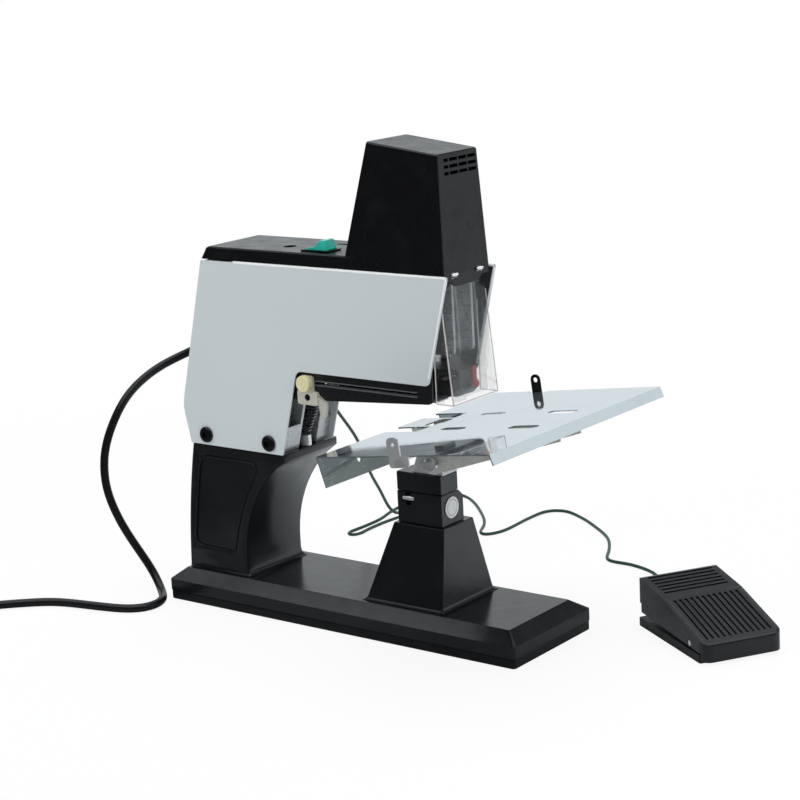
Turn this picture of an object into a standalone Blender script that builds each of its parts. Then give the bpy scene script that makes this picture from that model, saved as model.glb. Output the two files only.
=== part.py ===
# Electric saddle stapler with its foot pedal: solids at real size, in metres, +Z up.
# +X is the stapling end, -Y the operator's near side, the origin the centre of the base's underside.
import bpy
import bmesh
import math
import numpy as np
from mathutils import Matrix, Vector

# Clearances shared by every piece
GAP = 0.0003
RUNNING = 0.0002
OVERRUN = 0.004

# Base
BASE_LENGTH = 0.340
BASE_WIDTH = 0.1026
BASE_CORNER = 0.0030
MAT_HEIGHT = 0.0072
MAT_INSET = 0.0004
BASE_SIDE_Z = 0.0168
BASE_TOP_Z = 0.02485
BASE_BEVEL = 0.0118
BASE_REAR_BEVEL = 0.0098

# Column casting
COLUMN_REAR_X = -0.1620
COLUMN_WAIST_X = -0.0990
COLUMN_LEDGE_X = -0.054
COLUMN_TOP_REAR_X = -0.1493
COLUMN_HEIGHT = 0.1043
COLUMN_LEDGE_DEPTH = 0.0058
COLUMN_WAIST_Z = 0.040
COLUMN_HALF_WIDTH = 0.034
COLUMN_BOW = 0.0022
COLUMN_CORNER = 0.0022
COLUMN_FLARE = 0.0058
COLUMN_SIDE_FLARE = 0.0008
COLUMN_RINGS = 14
FIELD_DEPTH = 0.0008
FIELD_TOP_DROP = 0.0082
FIELD_FOOT_RISE = 0.0175
FIELD_MARGIN = 0.0058
FIELD_CORNER = 0.007
FIELD_FRONT_TOP_X = -0.0800
FIELD_FRONT_FOOT_X = -0.1132
FIELD_BOW = 0.0031
FIELD_STEPS = 7

# Pedestal casting
PEDESTAL_REAR_X = 0.0215
PEDESTAL_FRONT_X = 0.0940
PEDESTAL_NEAR_Y = -0.0340
PEDESTAL_FAR_Y = 0.0340
PEDESTAL_TOP_REAR_X = 0.0410
PEDESTAL_TOP_FRONT_X = 0.0880
PEDESTAL_TOP_NEAR_Y = -0.0200
PEDESTAL_TOP_FAR_Y = 0.0195
PEDESTAL_HEIGHT = 0.0602
PEDESTAL_FLARE = 0.0030
PEDESTAL_CORNER = 0.0016

# Anvil block, in two halves on the pedestal
BLOCK_REAR_X = 0.0440
BLOCK_FRONT_X = 0.0853
BLOCK_NEAR_Y = -0.0170
BLOCK_FAR_Y = 0.0104
BLOCK_UPPER_FAR_Y = 0.0048
BLOCK_LOWER_HEIGHT = 0.0244
BLOCK_UPPER_HEIGHT = 0.0148
BLOCK_CHAMFER = 0.0048
BLOCK_EDGE = 0.0010
SLOT_X = 0.0540
SLOT_DROP = 0.0055
SLOT_TALL = 0.0100
SLOT_NARROW = 0.0052
SLOT_LONG = 0.0124
SLOT_LOW = 0.0046
SLOT_DEPTH = 0.0065
LOCK_RADIUS = 0.0017
LOCK_SIDE_PLAY = 0.0010
DISC_RADIUS = 0.00825
DISC_THICK = 0.0006
DISC_DROP = 0.0113
DISC_Y = -0.0046

# Anvil over the block
HEAD_Y = -0.0030
POST_REAR_X = 0.0580
POST_FRONT_X = 0.0860
POST_NEAR_Y = -0.0148
POST_FAR_Y = 0.0040
ANVIL_X = 0.0762
ANVIL_LENGTH = 0.0070
ANVIL_WIDTH = 0.0200
ANVIL_THICK = 0.0040
ANVIL_BELOW_PLATE = 0.0011
ANVIL_GROOVE = 0.0010

# Table, in its own tilted frame about the pivot pin
TABLE_PIVOT_X = 0.0790
TABLE_PIVOT_RISE = 0.0099
TABLE_TILT = math.radians(7.33)
TABLE_RISE = 0.02835
TABLE_SHEET = 0.0010
TABLE_REAR = -0.0260
TABLE_FRONT = 0.1275
TABLE_NEAR_Y = -0.1155
TABLE_FAR_Y = 0.1070
TABLE_LIP = 0.0082
TABLE_LIP_LEAN = math.radians(17)
TABLE_FLAP = 0.0235
TABLE_FLAP_LEAN = math.radians(12)
FLAP_NEAR_END_Y = -0.0375
FLAP_FAR_END_Y = 0.0315
GUIDE_SLOT_NEAR_Y = -0.0355
GUIDE_SLOT_WIDTH = 0.0168
GUIDE_SLOT_LENGTH = 0.0305
GUIDE_SLOT_FAR_Y = 0.0120
STITCH_SLOT_LENGTH = 0.0120
STITCH_SLOT_WIDTH = 0.0235
SLOT_PAIR_OFFSET = 0.0253
MIDDLE_SLOT_X = 0.0330
MIDDLE_SLOT_LENGTH = 0.0210
MIDDLE_SLOT_WIDTH = 0.0088
FRONT_SLOT_X = 0.0955
FRONT_SLOT_LENGTH = 0.0250
FRONT_SLOT_WIDTH = 0.0100
NOTCH_X = 0.0178
NOTCH_LENGTH = 0.0175
NOTCH_DEPTH = 0.0042
FLAP_HOLE_RADIUS = 0.0022
FLAP_HOLE_IN = 0.0430
BRACKET_SHEET = 0.0015
BRACKET_NEAR_Y = -0.0170
BRACKET_WIDTH = 0.0280
BRACKET_LOBE = 0.0090
BRACKET_REAR = -0.0150
BRACKET_FRONT = 0.1170
BRACKET_END_HEIGHT = 0.0125
PIN_RADIUS = 0.0026
WING_HUB_RADIUS = 0.0050
WING_HUB_LENGTH = 0.0070
WING_SPAN = 0.0170
WING_WIDTH = 0.0062
WING_THICK = 0.0022
TAB_SHEET = 0.0012
NEAR_TAB_X = 0.0470
NEAR_TAB_WIDTH = 0.0105
NEAR_TAB_HEIGHT = 0.0130
NEAR_EAR_WIDTH = 0.0172
NEAR_EAR_DROP = 0.0085
NEAR_EAR_SHIFT = 0.0034
EAR_HOLE_RADIUS = 0.0026
TAB_HOLE_RADIUS = 0.0016
FAR_TAB_WIDTH = 0.0088
FAR_TAB_HEIGHT = 0.0140
FAR_HOLE_RADIUS = 0.0020
TAB_FOOT = 0.0100

# Body: side panels, rear panel, steel frame
BODY_NEAR_Y = -0.0346
BODY_FAR_Y = 0.0270
PANEL_SHEET = 0.0012
PANEL_BULGE_X = -0.1557
PANEL_BULGE_RISE = 0.0302
PANEL_TOP_REAR_X = -0.1252
PANEL_TOP_Z = 0.2800
PANEL_STEP_X = -0.0920
PANEL_STEP = 0.0007
PANEL_FRONT_X = 0.1135
PANEL_FRONT_LOW_X = 0.0925
THROAT_TOP_Z = 0.1984
THROAT_X = -0.0340
THROAT_FOOT_X = -0.0528
THROAT_CORNER = 0.0060
PANEL_CORNER = 0.0050
TOP_FLANGE = 0.0070
SCREW_REAR_X = -0.1318
SCREW_FRONT_X = -0.0662
SCREW_RISE = 0.0084
SCREW_HEAD_RADIUS = 0.0065
SCREW_HEAD_HEIGHT = 0.0032
SCREW_SHANK_RADIUS = 0.0024
BOSS_RADIUS = 0.0050
REAR_INSET = 0.0016
FRAME_SHEET = 0.0025
FRAME_CENTRE_Y = 0.0010
FRAME_INNER = 0.0210
FRAME_FRONT_SETBACK = 0.0052
FRAME_TOP_DROP = 0.0040
FRAME_UNDER_Z = 0.2170
FRAME_HEAD_X = 0.1000
FRAME_REAR_IN = 0.0080
WING_RISE = 0.0205
SPACER_RADIUS = 0.0040
GLAND_RISE = 0.0593
GLAND_Y = 0.0120
GLAND_RADIUS = 0.0085
GLAND_LENGTH = 0.0240
GLAND_STUB_RADIUS = 0.0060
GLAND_FLANGE = 0.0022
SOCKET_X = -0.1200
SOCKET_RISE = 0.0353
SOCKET_RADIUS = 0.0068
SOCKET_FLANGE = 0.0020
SOCKET_STUB_RADIUS = 0.0040
SOCKET_STUB = 0.0060
JACK_RADIUS = 0.0046
JACK_LENGTH = 0.0170

# Hood: rear cover and tower in one moulding
HOOD_WALL = 0.0024
COVER_REAR_X = -0.1250
COVER_LEAN = 0.0070
COVER_FRONT_X = 0.0300
COVER_HEIGHT = 0.0100
COVER_EDGE = 0.0010
COVER_NEAR_IN = 0.0006
TOWER_REAR_X = 0.0165
TOWER_FRONT_X = 0.1100
TOWER_TOP_REAR_X = 0.0420
TOWER_TOP_FRONT_X = 0.1062
TOWER_REAR_HEIGHT = 0.0944
TOWER_FRONT_HEIGHT = 0.0864
TOWER_CENTRE_Y = -0.0055
TOWER_HALF_WIDTH = 0.0288
TOWER_TOP_HALF_WIDTH = 0.0248
TOWER_CORNER = 0.0020
APRON_DROP = 0.0095
APRON_END_DROP = 0.0052
APRON_NEAR_Y = -0.0330
APRON_FAR_Y = 0.0220
VENT_ROWS = 3
VENT_COLUMNS = 4
VENT_DROP = 0.0050
VENT_PITCH_Z = 0.0048
VENT_PITCH_Y = 0.0112
VENT_TALL = 0.0024
VENT_LONG = 0.0098
HOOK_SLOT_DROP = 0.0002
HOOK_SLOT_TALL = 0.0036
HOOK_SLOT_WIDE = 0.0085
HOOK_NEAR_Y = -0.0213
HOOK_FAR_Y = 0.0097
HOOD_HOLE_X = -0.0521
HOOD_HOLE_Y = -0.0111
HOOD_HOLE_RADIUS = 0.0052
SLIT_X = -0.0100
SLIT_Y = 0.0105
SLIT_LENGTH = 0.0260
SLIT_WIDTH = 0.0040

# Rocker switch on the cover
SWITCH_X = -0.0150
SWITCH_Y = -0.0190
SWITCH_LENGTH = 0.0215
SWITCH_WIDTH = 0.0120
SWITCH_RIM = 0.0020
SWITCH_RIM_HEIGHT = 0.0010
SWITCH_DEPTH = 0.0130
SWITCH_PLAY = 0.0009
SWITCH_AXIS_DROP = 0.0020
ROCKER_PEAK = 0.0086
ROCKER_LOW = 0.0018
ROCKER_BELOW = 0.0035

# Stapling arm
ARM_PIVOT_X = -0.1180
ARM_PIVOT_Z = 0.1880
ARM_PIN_RADIUS = 0.0040
ARM_PLAY = 0.0019
ARM_SHEET = 0.0020
ARM_FRONT_X = 0.0927
ARM_FRONT_Z = 0.1841
ARM_KNEE_X = 0.0090
ARM_KNEE_Z = 0.1780
ARM_REAR_X = -0.0355
ARM_REAR_Z = 0.1752
ARM_TOP_Z = 0.2130
ARM_TOP_FRONT_Z = 0.2080
ARM_LOBE = 0.0110
ARM_CORNER = 0.0040
RAIL_Z = 0.1902
RAIL_REAR_X = -0.0290
RAIL_FRONT_X = 0.0800
RAIL_TALL = 0.0040
RAIL_BAR = 0.0022
SEAT_REAR_X = -0.0540
SEAT_THICK = 0.0020
SEAT_LIFT = 0.0010

# Magazine, nose, driver, release lever
MAGAZINE_REAR_X = -0.0180
MAGAZINE_WIDTH = 0.0180
MAGAZINE_HEIGHT = 0.0180
MAGAZINE_WALL = 0.0014
NOSE_REAR_X = 0.0680
NOSE_FRONT_X = 0.1035
NOSE_NEAR_Y = -0.0110
NOSE_FAR_Y = 0.0100
NOSE_LOW_Z = 0.1860
NOSE_TOP_Z = 0.2060
SILVER_BAR_NEAR_Y = -0.0260
SILVER_BAR_RADIUS = 0.0016
SILVER_BAR_Z = 0.2030
FOOT_X = 0.0762
FOOT_LENGTH = 0.0080
FOOT_WIDTH = 0.0150
FOOT_LOW_Z = 0.1797
BLADE_THICK = 0.0008
BLADE_WIDTH = 0.0126
BLADE_TOP_Z = 0.2245
BLADE_LOW_Z = 0.1978
BLADE_HEAD = 0.0060
BLADE_HEAD_RADIUS = 0.0048
STRIP_LENGTH = 0.0560
STRIP_WIDTH = 0.0124
STRIP_HEIGHT = 0.0080
PUSHER_LENGTH = 0.0080
LEVER_Y = 0.0036
LEVER_SHEET = 0.0022
LEVER_WIDTH = 0.0048
LEVER_LOW_Z = 0.1945
LEVER_TOP_Z = 0.2080
LEVER_KNOB_RADIUS = 0.0036

# Return spring and its bush
SPRING_X = -0.0592
SPRING_Y = 0.0010
SPRING_WIRE = 0.0016
SPRING_LOW_RADIUS = 0.0042
SPRING_HIGH_RADIUS = 0.0056
SPRING_TURNS = 11
BUSH_RADIUS = 0.0046
BUSH_HEIGHT = 0.0084
SPRING_END_X = -0.0458

# Depth stop on the arm's near side
STOP_X = -0.0245
STOP_PLATE = 0.0024
STOP_LOW_Z = 0.1728
STOP_WIDTH = 0.0200
STOP_HOLE_RADIUS = 0.0021
STOP_HOLE_DROP = 0.0098
FINGER_LENGTH = 0.0078
FINGER_LOW_Z = 0.1640
KNOB_RADIUS = 0.0065
KNOB_HEIGHT = 0.0052
KNOB_STUD_RADIUS = 0.0009
KNOB_BORE = 0.0034

# Clear guard
GUARD_SHEET = 0.0012
GUARD_AXIS_X = 0.1100
GUARD_TOP_X = 0.1038
GUARD_LOW_X = 0.1130
GUARD_LOW_Z = 0.1852
GUARD_NEAR_Y = -0.0329
GUARD_FAR_Y = 0.0235
GUARD_REAR_X = 0.0970
GUARD_WING_TOP_Z = 0.2560
GUARD_TONGUE_OUT = 0.0016

# Solenoid in the tower
SOLENOID_X = 0.0762
YOKE_LENGTH = 0.0440
YOKE_WIDTH = 0.0360
YOKE_HEIGHT = 0.0620
YOKE_SHEET = 0.0035
COIL_RADIUS = 0.0165
COIL_BORE = 0.0082
CORE_RADIUS = 0.0074
CORE_LENGTH = 0.0380
CORE_RISE = 0.0300
ROD_RADIUS = 0.0040

# Control board on the frame
BOARD_LENGTH = 0.0820
BOARD_HEIGHT = 0.0500
BOARD_REAR_X = -0.1060
BOARD_LOW_Z = 0.2190
BOARD_SHEET = 0.0016
BOARD_STANDOFF = 0.0028
CAPACITOR_RADIUS = 0.0030
CAPACITOR_LENGTH = 0.0260
RELAY_LENGTH = 0.0180
RELAY_HEIGHT = 0.0150
RELAY_THICK = 0.0055

# Foot pedal, in its own turned frame
PEDAL_X = 0.2576
PEDAL_Y = 0.0761
PEDAL_YAW = math.radians(-32.1)
PEDAL_LENGTH = 0.1029
PEDAL_WIDTH = 0.0648
PEDAL_REAR_HEIGHT = 0.0390
PEDAL_CREST_HEIGHT = 0.0325
PEDAL_FRONT_HEIGHT = 0.0150
PEDAL_CREST = -0.0090
PEDAL_BASE_HEIGHT = 0.0065
PEDAL_BASE_LIP = 0.0018
PEDAL_CORNER = 0.0075
PEDAL_WALL = 0.0024
PEDAL_REAR_GAP = 0.0052
PEDAL_FRONT_GAP = 0.0012
PEDAL_NOTCH = 0.0070
PEDAL_PIN_X = 0.0290
PEDAL_PIN_Z = 0.0108
PEDAL_PIN_RADIUS = 0.0021
PEDAL_EAR_WIDTH = 0.0035
PEDAL_EAR_LENGTH = 0.0120
GROOVE_COUNT = 6
GROOVE_WIDTH = 0.0022
GROOVE_DEPTH = 0.0014
GROOVE_MARGIN = 0.0055
RIB_COUNT = 12
RIB_DEPTH = 0.0012
SWITCH_BOX_LENGTH = 0.0200
SWITCH_BOX_WIDTH = 0.0100
SWITCH_BOX_HEIGHT = 0.0100
SWITCH_BOX_X = -0.0160
PEDAL_SPRING_X = -0.0340
PEDAL_SPRING_RADIUS = 0.0045
PEDAL_SPRING_WIRE = 0.0012
PEDAL_SPRING_TURNS = 5
PEDAL_RELIEF_RADIUS = 0.0030
PEDAL_RELIEF_LENGTH = 0.0090

# Mains cord: route points, a coil and a plug
MAINS_DIAMETER = 0.0068
MAINS_POINTS = 38
COIL_CENTRE_X = -0.3420
COIL_CENTRE_Y = -0.1720
COIL_ENTRY_ANGLE = math.radians(-20)
COIL_OUTER = 0.0440
COIL_PITCH = 0.0073
COIL_LAYER = 0.0073
COIL_TURNS = 2
COIL_LOOP_POINTS = 24
TAIL_LENGTH = 0.0420
TAIL_POINTS = 6
PLUG_LENGTH = 0.0380
PLUG_WIDTH = 0.0240
PLUG_HEIGHT = 0.0150
PLUG_NECK = 0.0120
PLUG_BLADE_LENGTH = 0.0175
PLUG_BLADE_WIDTH = 0.0062
PLUG_BLADE_THICK = 0.0016
PLUG_BLADE_PITCH = 0.0130

# Pedal cable
CABLE_DIAMETER = 0.0028
CABLE_POINTS = 80

# Routes chosen by hand, in metres: the mains cord's fall and floor stretch, the pedal cable's
MAINS_ROUTE = (
    (-0.1880, 0.0085, 0.1916), (-0.1970, 0.0000, 0.1870), (-0.2039, -0.0100, 0.1821), (-0.2090, -0.0220, 0.1753),
    (-0.2125, -0.0340, 0.1674), (-0.2142, -0.0475, 0.1556), (-0.2190, -0.0610, 0.1300), (-0.2210, -0.0649, 0.1095),
    (-0.2200, -0.0645, 0.0869), (-0.2140, -0.0582, 0.0603), (-0.2060, -0.0501, 0.0378), (-0.1950, -0.0447, 0.0179),
    (-0.1872, -0.0462, 0.0076), (-0.1788, -0.0518, 0.0037))
MAINS_FLOOR_ROUTE = (
    (-0.1710, -0.0583), (-0.1635, -0.0670), (-0.1608, -0.0775), (-0.1632, -0.0880), (-0.1710, -0.0955),
    (-0.1840, -0.1000), (-0.2050, -0.1045),
    (-0.2415, -0.1130), (-0.2646, -0.1307), (-0.2776, -0.1420), (-0.2880, -0.1580))
CABLE_DROP = (
    (-0.1205, 0.0620, 0.1640), (-0.1235, 0.0980, 0.1470), (-0.1280, 0.1285, 0.1176), (-0.1340, 0.1568, 0.0882),
    (-0.1410, 0.1796, 0.0538), (-0.1460, 0.1985, 0.0318), (-0.1490, 0.2135, 0.0120), (-0.1510, 0.2280, 0.0018))
CABLE_FLOOR_ROUTE = (
    (-0.1525, 0.2500), (-0.1500, 0.2660), (-0.1430, 0.2700), (-0.1380, 0.2610), (-0.1400, 0.2350), (-0.1440, 0.2050),
    (-0.1435, 0.1750), (-0.1415, 0.1630), (-0.1440, 0.1555), (-0.1500, 0.1545), (-0.1535, 0.1620), (-0.1525, 0.1750),
    (-0.1535, 0.2050), (-0.1600, 0.2300), (-0.1630, 0.2550), (-0.1620, 0.2800), (-0.1560, 0.3030),
    (-0.1330, 0.3050), (-0.1090, 0.2900), (-0.0775, 0.2590), (-0.0600, 0.2370), (-0.0490, 0.2150), (-0.0410, 0.2110),
    (-0.0330, 0.2290), (-0.0350, 0.2700), (-0.0330, 0.2970), (-0.0180, 0.3050), (0.0040, 0.2950), (0.0250, 0.2810),
    (0.0576, 0.2540), (0.0767, 0.2270), (0.0905, 0.2010), (0.1010, 0.1972), (0.1180, 0.1970), (0.1450, 0.1860),
    (0.1650, 0.1630), (0.1840, 0.1350))
CABLE_RISE = ((0.1960, 0.1180, 0.0045),)

# Shares of the piece named in front of each table
NOSE_CHAMFER_SHARE = 0.18
FLARE_SHARES = (0, 0.1, 0.25, 0.5, 1)
FINGER_TIP_SHARES = (0.25, 0.55)
NECK_SHARE = 0.9
ROCKER_REACH_SHARE = 0.92
WING_HUB_SHARES = (0.6, 0.7)
WING_ROOT_SHARE = 0.4
WING_TIP_SHARE = 0.35
WING_FOOT_SHARE = 0.9
EAR_DROP_SHARE = 0.55
EAR_HOLE_SHARES = (1.6, 0.7, 0.8)
APRON_STEP_SHARE = 1.4
END_VENT_SHARE = 0.55
LEVER_SHARES = (0.9, 1.5, 0.7, 2.1)
NOTCH_STEP_SHARE = 0.7
RELIEF_SHARES = (0.6, 0.65)
SADDLE_SHARES = (1.4, 1.3)
PLUG_NECK_SHARES = (0.75, 1.25, 1.15)
PLUG_CORNER_SHARE = 0.6
CAPACITOR_SINK_SHARE = 0.9
STUD_NUT_SHARE = 0.83
ROCKER_SHARES = ((-0.5, 0.0), (-0.06, 0.28), (0.20, 1.0), (0.38, 1.0), (0.5, 0.0))
KNOB_DOME_SHARES = ((0.72, 1.0), (0.92, 0.86), (1.0, 0.62), (1.0, 0.18), (0.94, 0.0))
SCREW_DOME_SHARES = ((0.0, 0.86), (0.34, 0.82), (0.40, 1.0), (0.66, 0.90), (0.90, 0.58), (1.0, 0.22), (1.0, 0.0))
GLAND_SHARES = ((1.0, 0.0), (1.0, 0.09), (0.80, 0.10), (0.74, 0.40), (0.66, 0.42), (0.66, 0.48), (0.74, 0.50),
                (0.62, 0.80), (0.56, 1.0))
JACK_SHARES = ((1.0, 0.0), (1.0, 0.55), (0.84, 0.62), (0.60, 0.90), (0.52, 1.0))

PAINTS = {
    "black_cast": ((0.028, 0.029, 0.032), 0.38, 0.0),
    "black_plastic": ((0.022, 0.023, 0.026), 0.42, 0.0),
    "white_panel": ((0.72, 0.75, 0.76), 0.42, 0.0),
    "grey_steel": ((0.58, 0.60, 0.61), 0.38, 0.8),
    "bright_steel": ((0.78, 0.80, 0.81), 0.16, 1.0),
    "dark_steel": ((0.12, 0.125, 0.13), 0.40, 0.8),
    "clear": ((0.90, 0.92, 0.92), 0.05, 0.0),
    "green": ((0.05, 0.55, 0.44), 0.18, 0.0),
    "beige": ((0.78, 0.68, 0.42), 0.45, 0.0),
    "pale": ((0.72, 0.73, 0.71), 0.50, 0.0),
    "red": ((0.65, 0.03, 0.05), 0.30, 0.0),
    "copper": ((0.62, 0.26, 0.12), 0.40, 0.6),
    "board": ((0.06, 0.24, 0.12), 0.50, 0.0),
    "cable_green": ((0.02, 0.10, 0.07), 0.50, 0.0),
}

COLUMN_TOP_Z = BASE_TOP_Z + COLUMN_HEIGHT + GAP
PANEL_FOOT_Z = COLUMN_TOP_Z + GAP
BLOCK_FOOT_Z = BASE_TOP_Z + PEDESTAL_HEIGHT + 2 * GAP
BLOCK_SPLIT_Z = BLOCK_FOOT_Z + BLOCK_LOWER_HEIGHT
BLOCK_TOP_Z = BLOCK_SPLIT_Z + GAP + BLOCK_UPPER_HEIGHT
TABLE_PIVOT_Z = BLOCK_TOP_Z + TABLE_PIVOT_RISE
HOOD_FOOT_Z = PANEL_TOP_Z + GAP
COVER_TOP_Z = HOOD_FOOT_Z + COVER_HEIGHT
FRAME_TOP_Z = PANEL_TOP_Z - FRAME_TOP_DROP


def clear_scene():
    """Start from an empty scene."""
    for piece in list(bpy.data.objects):
        bpy.data.objects.remove(piece)


def material(name):
    """A Principled surface with the finish of this name."""
    found = bpy.data.materials.get(name)
    if found:
        return found
    color, rough, metal = PAINTS[name]
    made = bpy.data.materials.new(name)
    made.use_nodes = True
    shader = made.node_tree.nodes["Principled BSDF"]
    shader.inputs["Base Color"].default_value = (*color, 1)
    shader.inputs["Roughness"].default_value = rough
    shader.inputs["Metallic"].default_value = metal
    return made


def placed(name, data, paint, parent=None):
    """Link an object, with its finish, under a joint's empty where it has one."""
    piece = bpy.data.objects.new(name, data)
    bpy.context.collection.objects.link(piece)
    if paint:
        data.materials.append(material(paint))
    if parent:
        piece.parent = parent
        if parent.get("world_children"):
            piece.matrix_parent_inverse = Matrix.Translation(parent.location).inverted()
    return piece


def joint_empty(name, place, turn=(0, 0, 0), world_children=True):
    """An empty on a joint's axis; its children are drawn in world places or in its own turned frame."""
    empty = bpy.data.objects.new(name, None)
    empty.location = place
    empty.rotation_euler = turn
    empty["world_children"] = world_children
    bpy.context.collection.objects.link(empty)
    return empty


def solid(name, build, paint, parent=None, smooth=None):
    """Make a mesh with a bmesh function, faces outwards, and shade it smooth below the given angle."""
    mesh = bpy.data.meshes.new(name)
    bm = bmesh.new()
    build(bm)
    bmesh.ops.recalc_face_normals(bm, faces=bm.faces)
    bm.to_mesh(mesh)
    bm.free()
    if smooth:
        mesh.shade_smooth()
        mesh.set_sharp_from_angle(angle=math.radians(smooth))
    return placed(name, mesh, paint, parent)


def on_axis(axis, a, b, c):
    """Point with outline coordinates a, b and height c along the axis."""
    return {"X": (c, a, b), "Y": (a, c, b), "Z": (a, b, c)}[axis]


def rounded(corners, steps=3):
    """Closed outline through (a, b, radius) corners, each turned by an arc."""
    outline = []
    count = len(corners)
    for index, (a, b, radius) in enumerate(corners):
        corner = Vector((a, b))
        before = Vector(corners[index - 1][:2]) - corner
        after = Vector(corners[(index + 1) % count][:2]) - corner
        if radius <= 0:
            outline.append((a, b))
            continue
        half = before.angle(after) / 2
        reach = min(radius / math.tan(half), 0.48 * before.length, 0.48 * after.length)
        radius = reach * math.tan(half)
        centre = corner + (before.normalized() + after.normalized()).normalized() * radius / math.sin(half)
        start = corner + before.normalized() * reach - centre
        end = corner + after.normalized() * reach - centre
        first = math.atan2(start.y, start.x)
        sweep = (math.atan2(end.y, end.x) - first + math.pi) % (2 * math.pi) - math.pi
        for step in range(steps + 1):
            angle = first + sweep * step / steps
            outline.append((centre.x + radius * math.cos(angle), centre.y + radius * math.sin(angle)))
    return outline


def rectangle(a_low, a_high, b_low, b_high, radius=0.0, steps=3):
    """Rectangle outline with rounded corners."""
    return rounded([(a_low, b_low, radius), (a_high, b_low, radius),
                    (a_high, b_high, radius), (a_low, b_high, radius)], steps)


def circle(a, b, radius, steps=20):
    """Round outline."""
    turns = [2 * math.pi * step / steps for step in range(steps)]
    return [(a + radius * math.cos(turn), b + radius * math.sin(turn)) for turn in turns]


def add_prism(bm, outline, axis, low, high):
    """Add an outline swept from low to high along an axis."""
    face = bm.faces.new([bm.verts.new(on_axis(axis, a, b, low)) for a, b in outline])
    swept = bmesh.ops.extrude_face_region(bm, geom=[face])
    tops = [item for item in swept["geom"] if isinstance(item, bmesh.types.BMVert)]
    bmesh.ops.translate(bm, verts=tops, vec=Vector(on_axis(axis, 0, 0, high - low)))


def prism(name, outline, axis, low, high, paint, parent=None, smooth=None):
    """Solid with this outline between low and high along an axis."""
    return solid(name, lambda bm: add_prism(bm, outline, axis, low, high), paint, parent, smooth)


def prisms(name, parts, paint, parent=None, smooth=None):
    """Several separate prisms in one object: each part is (outline, axis, low, high)."""
    def build(bm):
        for part in parts:
            add_prism(bm, *part)
    return solid(name, build, paint, parent, smooth)


def add_loft(bm, rings, closed=False):
    """Add a skin over rings of points, capped at both ends, or joined end to end when closed."""
    loops = [[bm.verts.new(point) for point in ring] for ring in rings]
    count = len(loops[0])
    pairs = list(zip(loops, loops[1:] + loops[:1])) if closed else list(zip(loops, loops[1:]))
    for lower, upper in pairs:
        for index in range(count):
            after = (index + 1) % count
            bm.faces.new((lower[index], lower[after], upper[after], upper[index]))
    if not closed:
        bm.faces.new(loops[0])
        bm.faces.new(loops[-1])


def loft(name, rings, paint, parent=None, smooth=None):
    """Solid skinned over rings."""
    return solid(name, lambda bm: add_loft(bm, rings), paint, parent, smooth)


def add_turned(bm, profile, axis, centre, segments, ring):
    """Add a profile of (radius, height) turned about an axis direction through centre."""
    turn = Vector((0, 0, 1)).rotation_difference(Vector(axis)).to_matrix()
    centre = Vector(centre)
    steps = [2 * math.pi * step / segments for step in range(segments)]
    rings = []
    for radius, height in profile:
        if radius <= 0:
            rings.append([bm.verts.new(centre + turn @ Vector((0, 0, height)))])
        else:
            rings.append([bm.verts.new(centre + turn @ Vector((radius * math.cos(step), radius * math.sin(step),
                                                               height))) for step in steps])
    following = rings[1:] + rings[:1] if ring else rings[1:]
    for lower, upper in zip(rings, following):
        for index in range(segments):
            after = (index + 1) % segments
            if len(lower) == 1:
                bm.faces.new((lower[0], upper[after], upper[index]))
            elif len(upper) == 1:
                bm.faces.new((lower[index], lower[after], upper[0]))
            else:
                bm.faces.new((lower[index], lower[after], upper[after], upper[index]))
    if not ring:
        for end in (rings[0], rings[-1]):
            if len(end) > 1:
                bm.faces.new(end)


def turned(name, profile, axis, centre, paint, parent=None, segments=20, ring=False, smooth=40):
    """Round solid, or a ring where the profile closes on itself away from the axis."""
    return solid(name, lambda bm: add_turned(bm, profile, axis, centre, segments, ring), paint, parent, smooth)


def rods(name, rows, axis, paint, parent=None, segments=16):
    """Separate round rods: each row is (centre, radius, length) along the axis."""
    def build(bm):
        for centre, radius, length in rows:
            add_turned(bm, [(radius, 0), (radius, length)], axis, centre, segments, False)
    return solid(name, build, paint, parent, 40)


def shape_with(target, other, operation):
    """Add a Boolean with another object, which then only guides the shape."""
    other.hide_render = True
    other.display_type = "WIRE"
    step = target.modifiers.new(other.name, "BOOLEAN")
    step.operation = operation
    step.object = other
    step.solver = "EXACT"
    return target


def cut(target, *others):
    """Take the other solids out of the target."""
    for other in others:
        shape_with(target, other, "DIFFERENCE")
    return target


def fuse(target, *others):
    """Join the other solids onto the target."""
    for other in others:
        shape_with(target, other, "UNION")
    return target


def bent_sheet(points, thickness):
    """Closed outline of a sheet whose outer face follows the points, thickness to their right."""
    path = [Vector(point) for point in points]
    normals = []
    for start, end in zip(path, path[1:]):
        run = (end - start).normalized()
        normals.append(Vector((run.y, -run.x)))
    inner = []
    for index, point in enumerate(path):
        near = [normals[max(index - 1, 0)], normals[min(index, len(normals) - 1)]]
        middle = (near[0] + near[1]).normalized()
        inner.append(point + middle * thickness / max(middle.dot(near[0]), 0.3))
    return [tuple(point) for point in path] + [tuple(point) for point in reversed(inner)]


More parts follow.
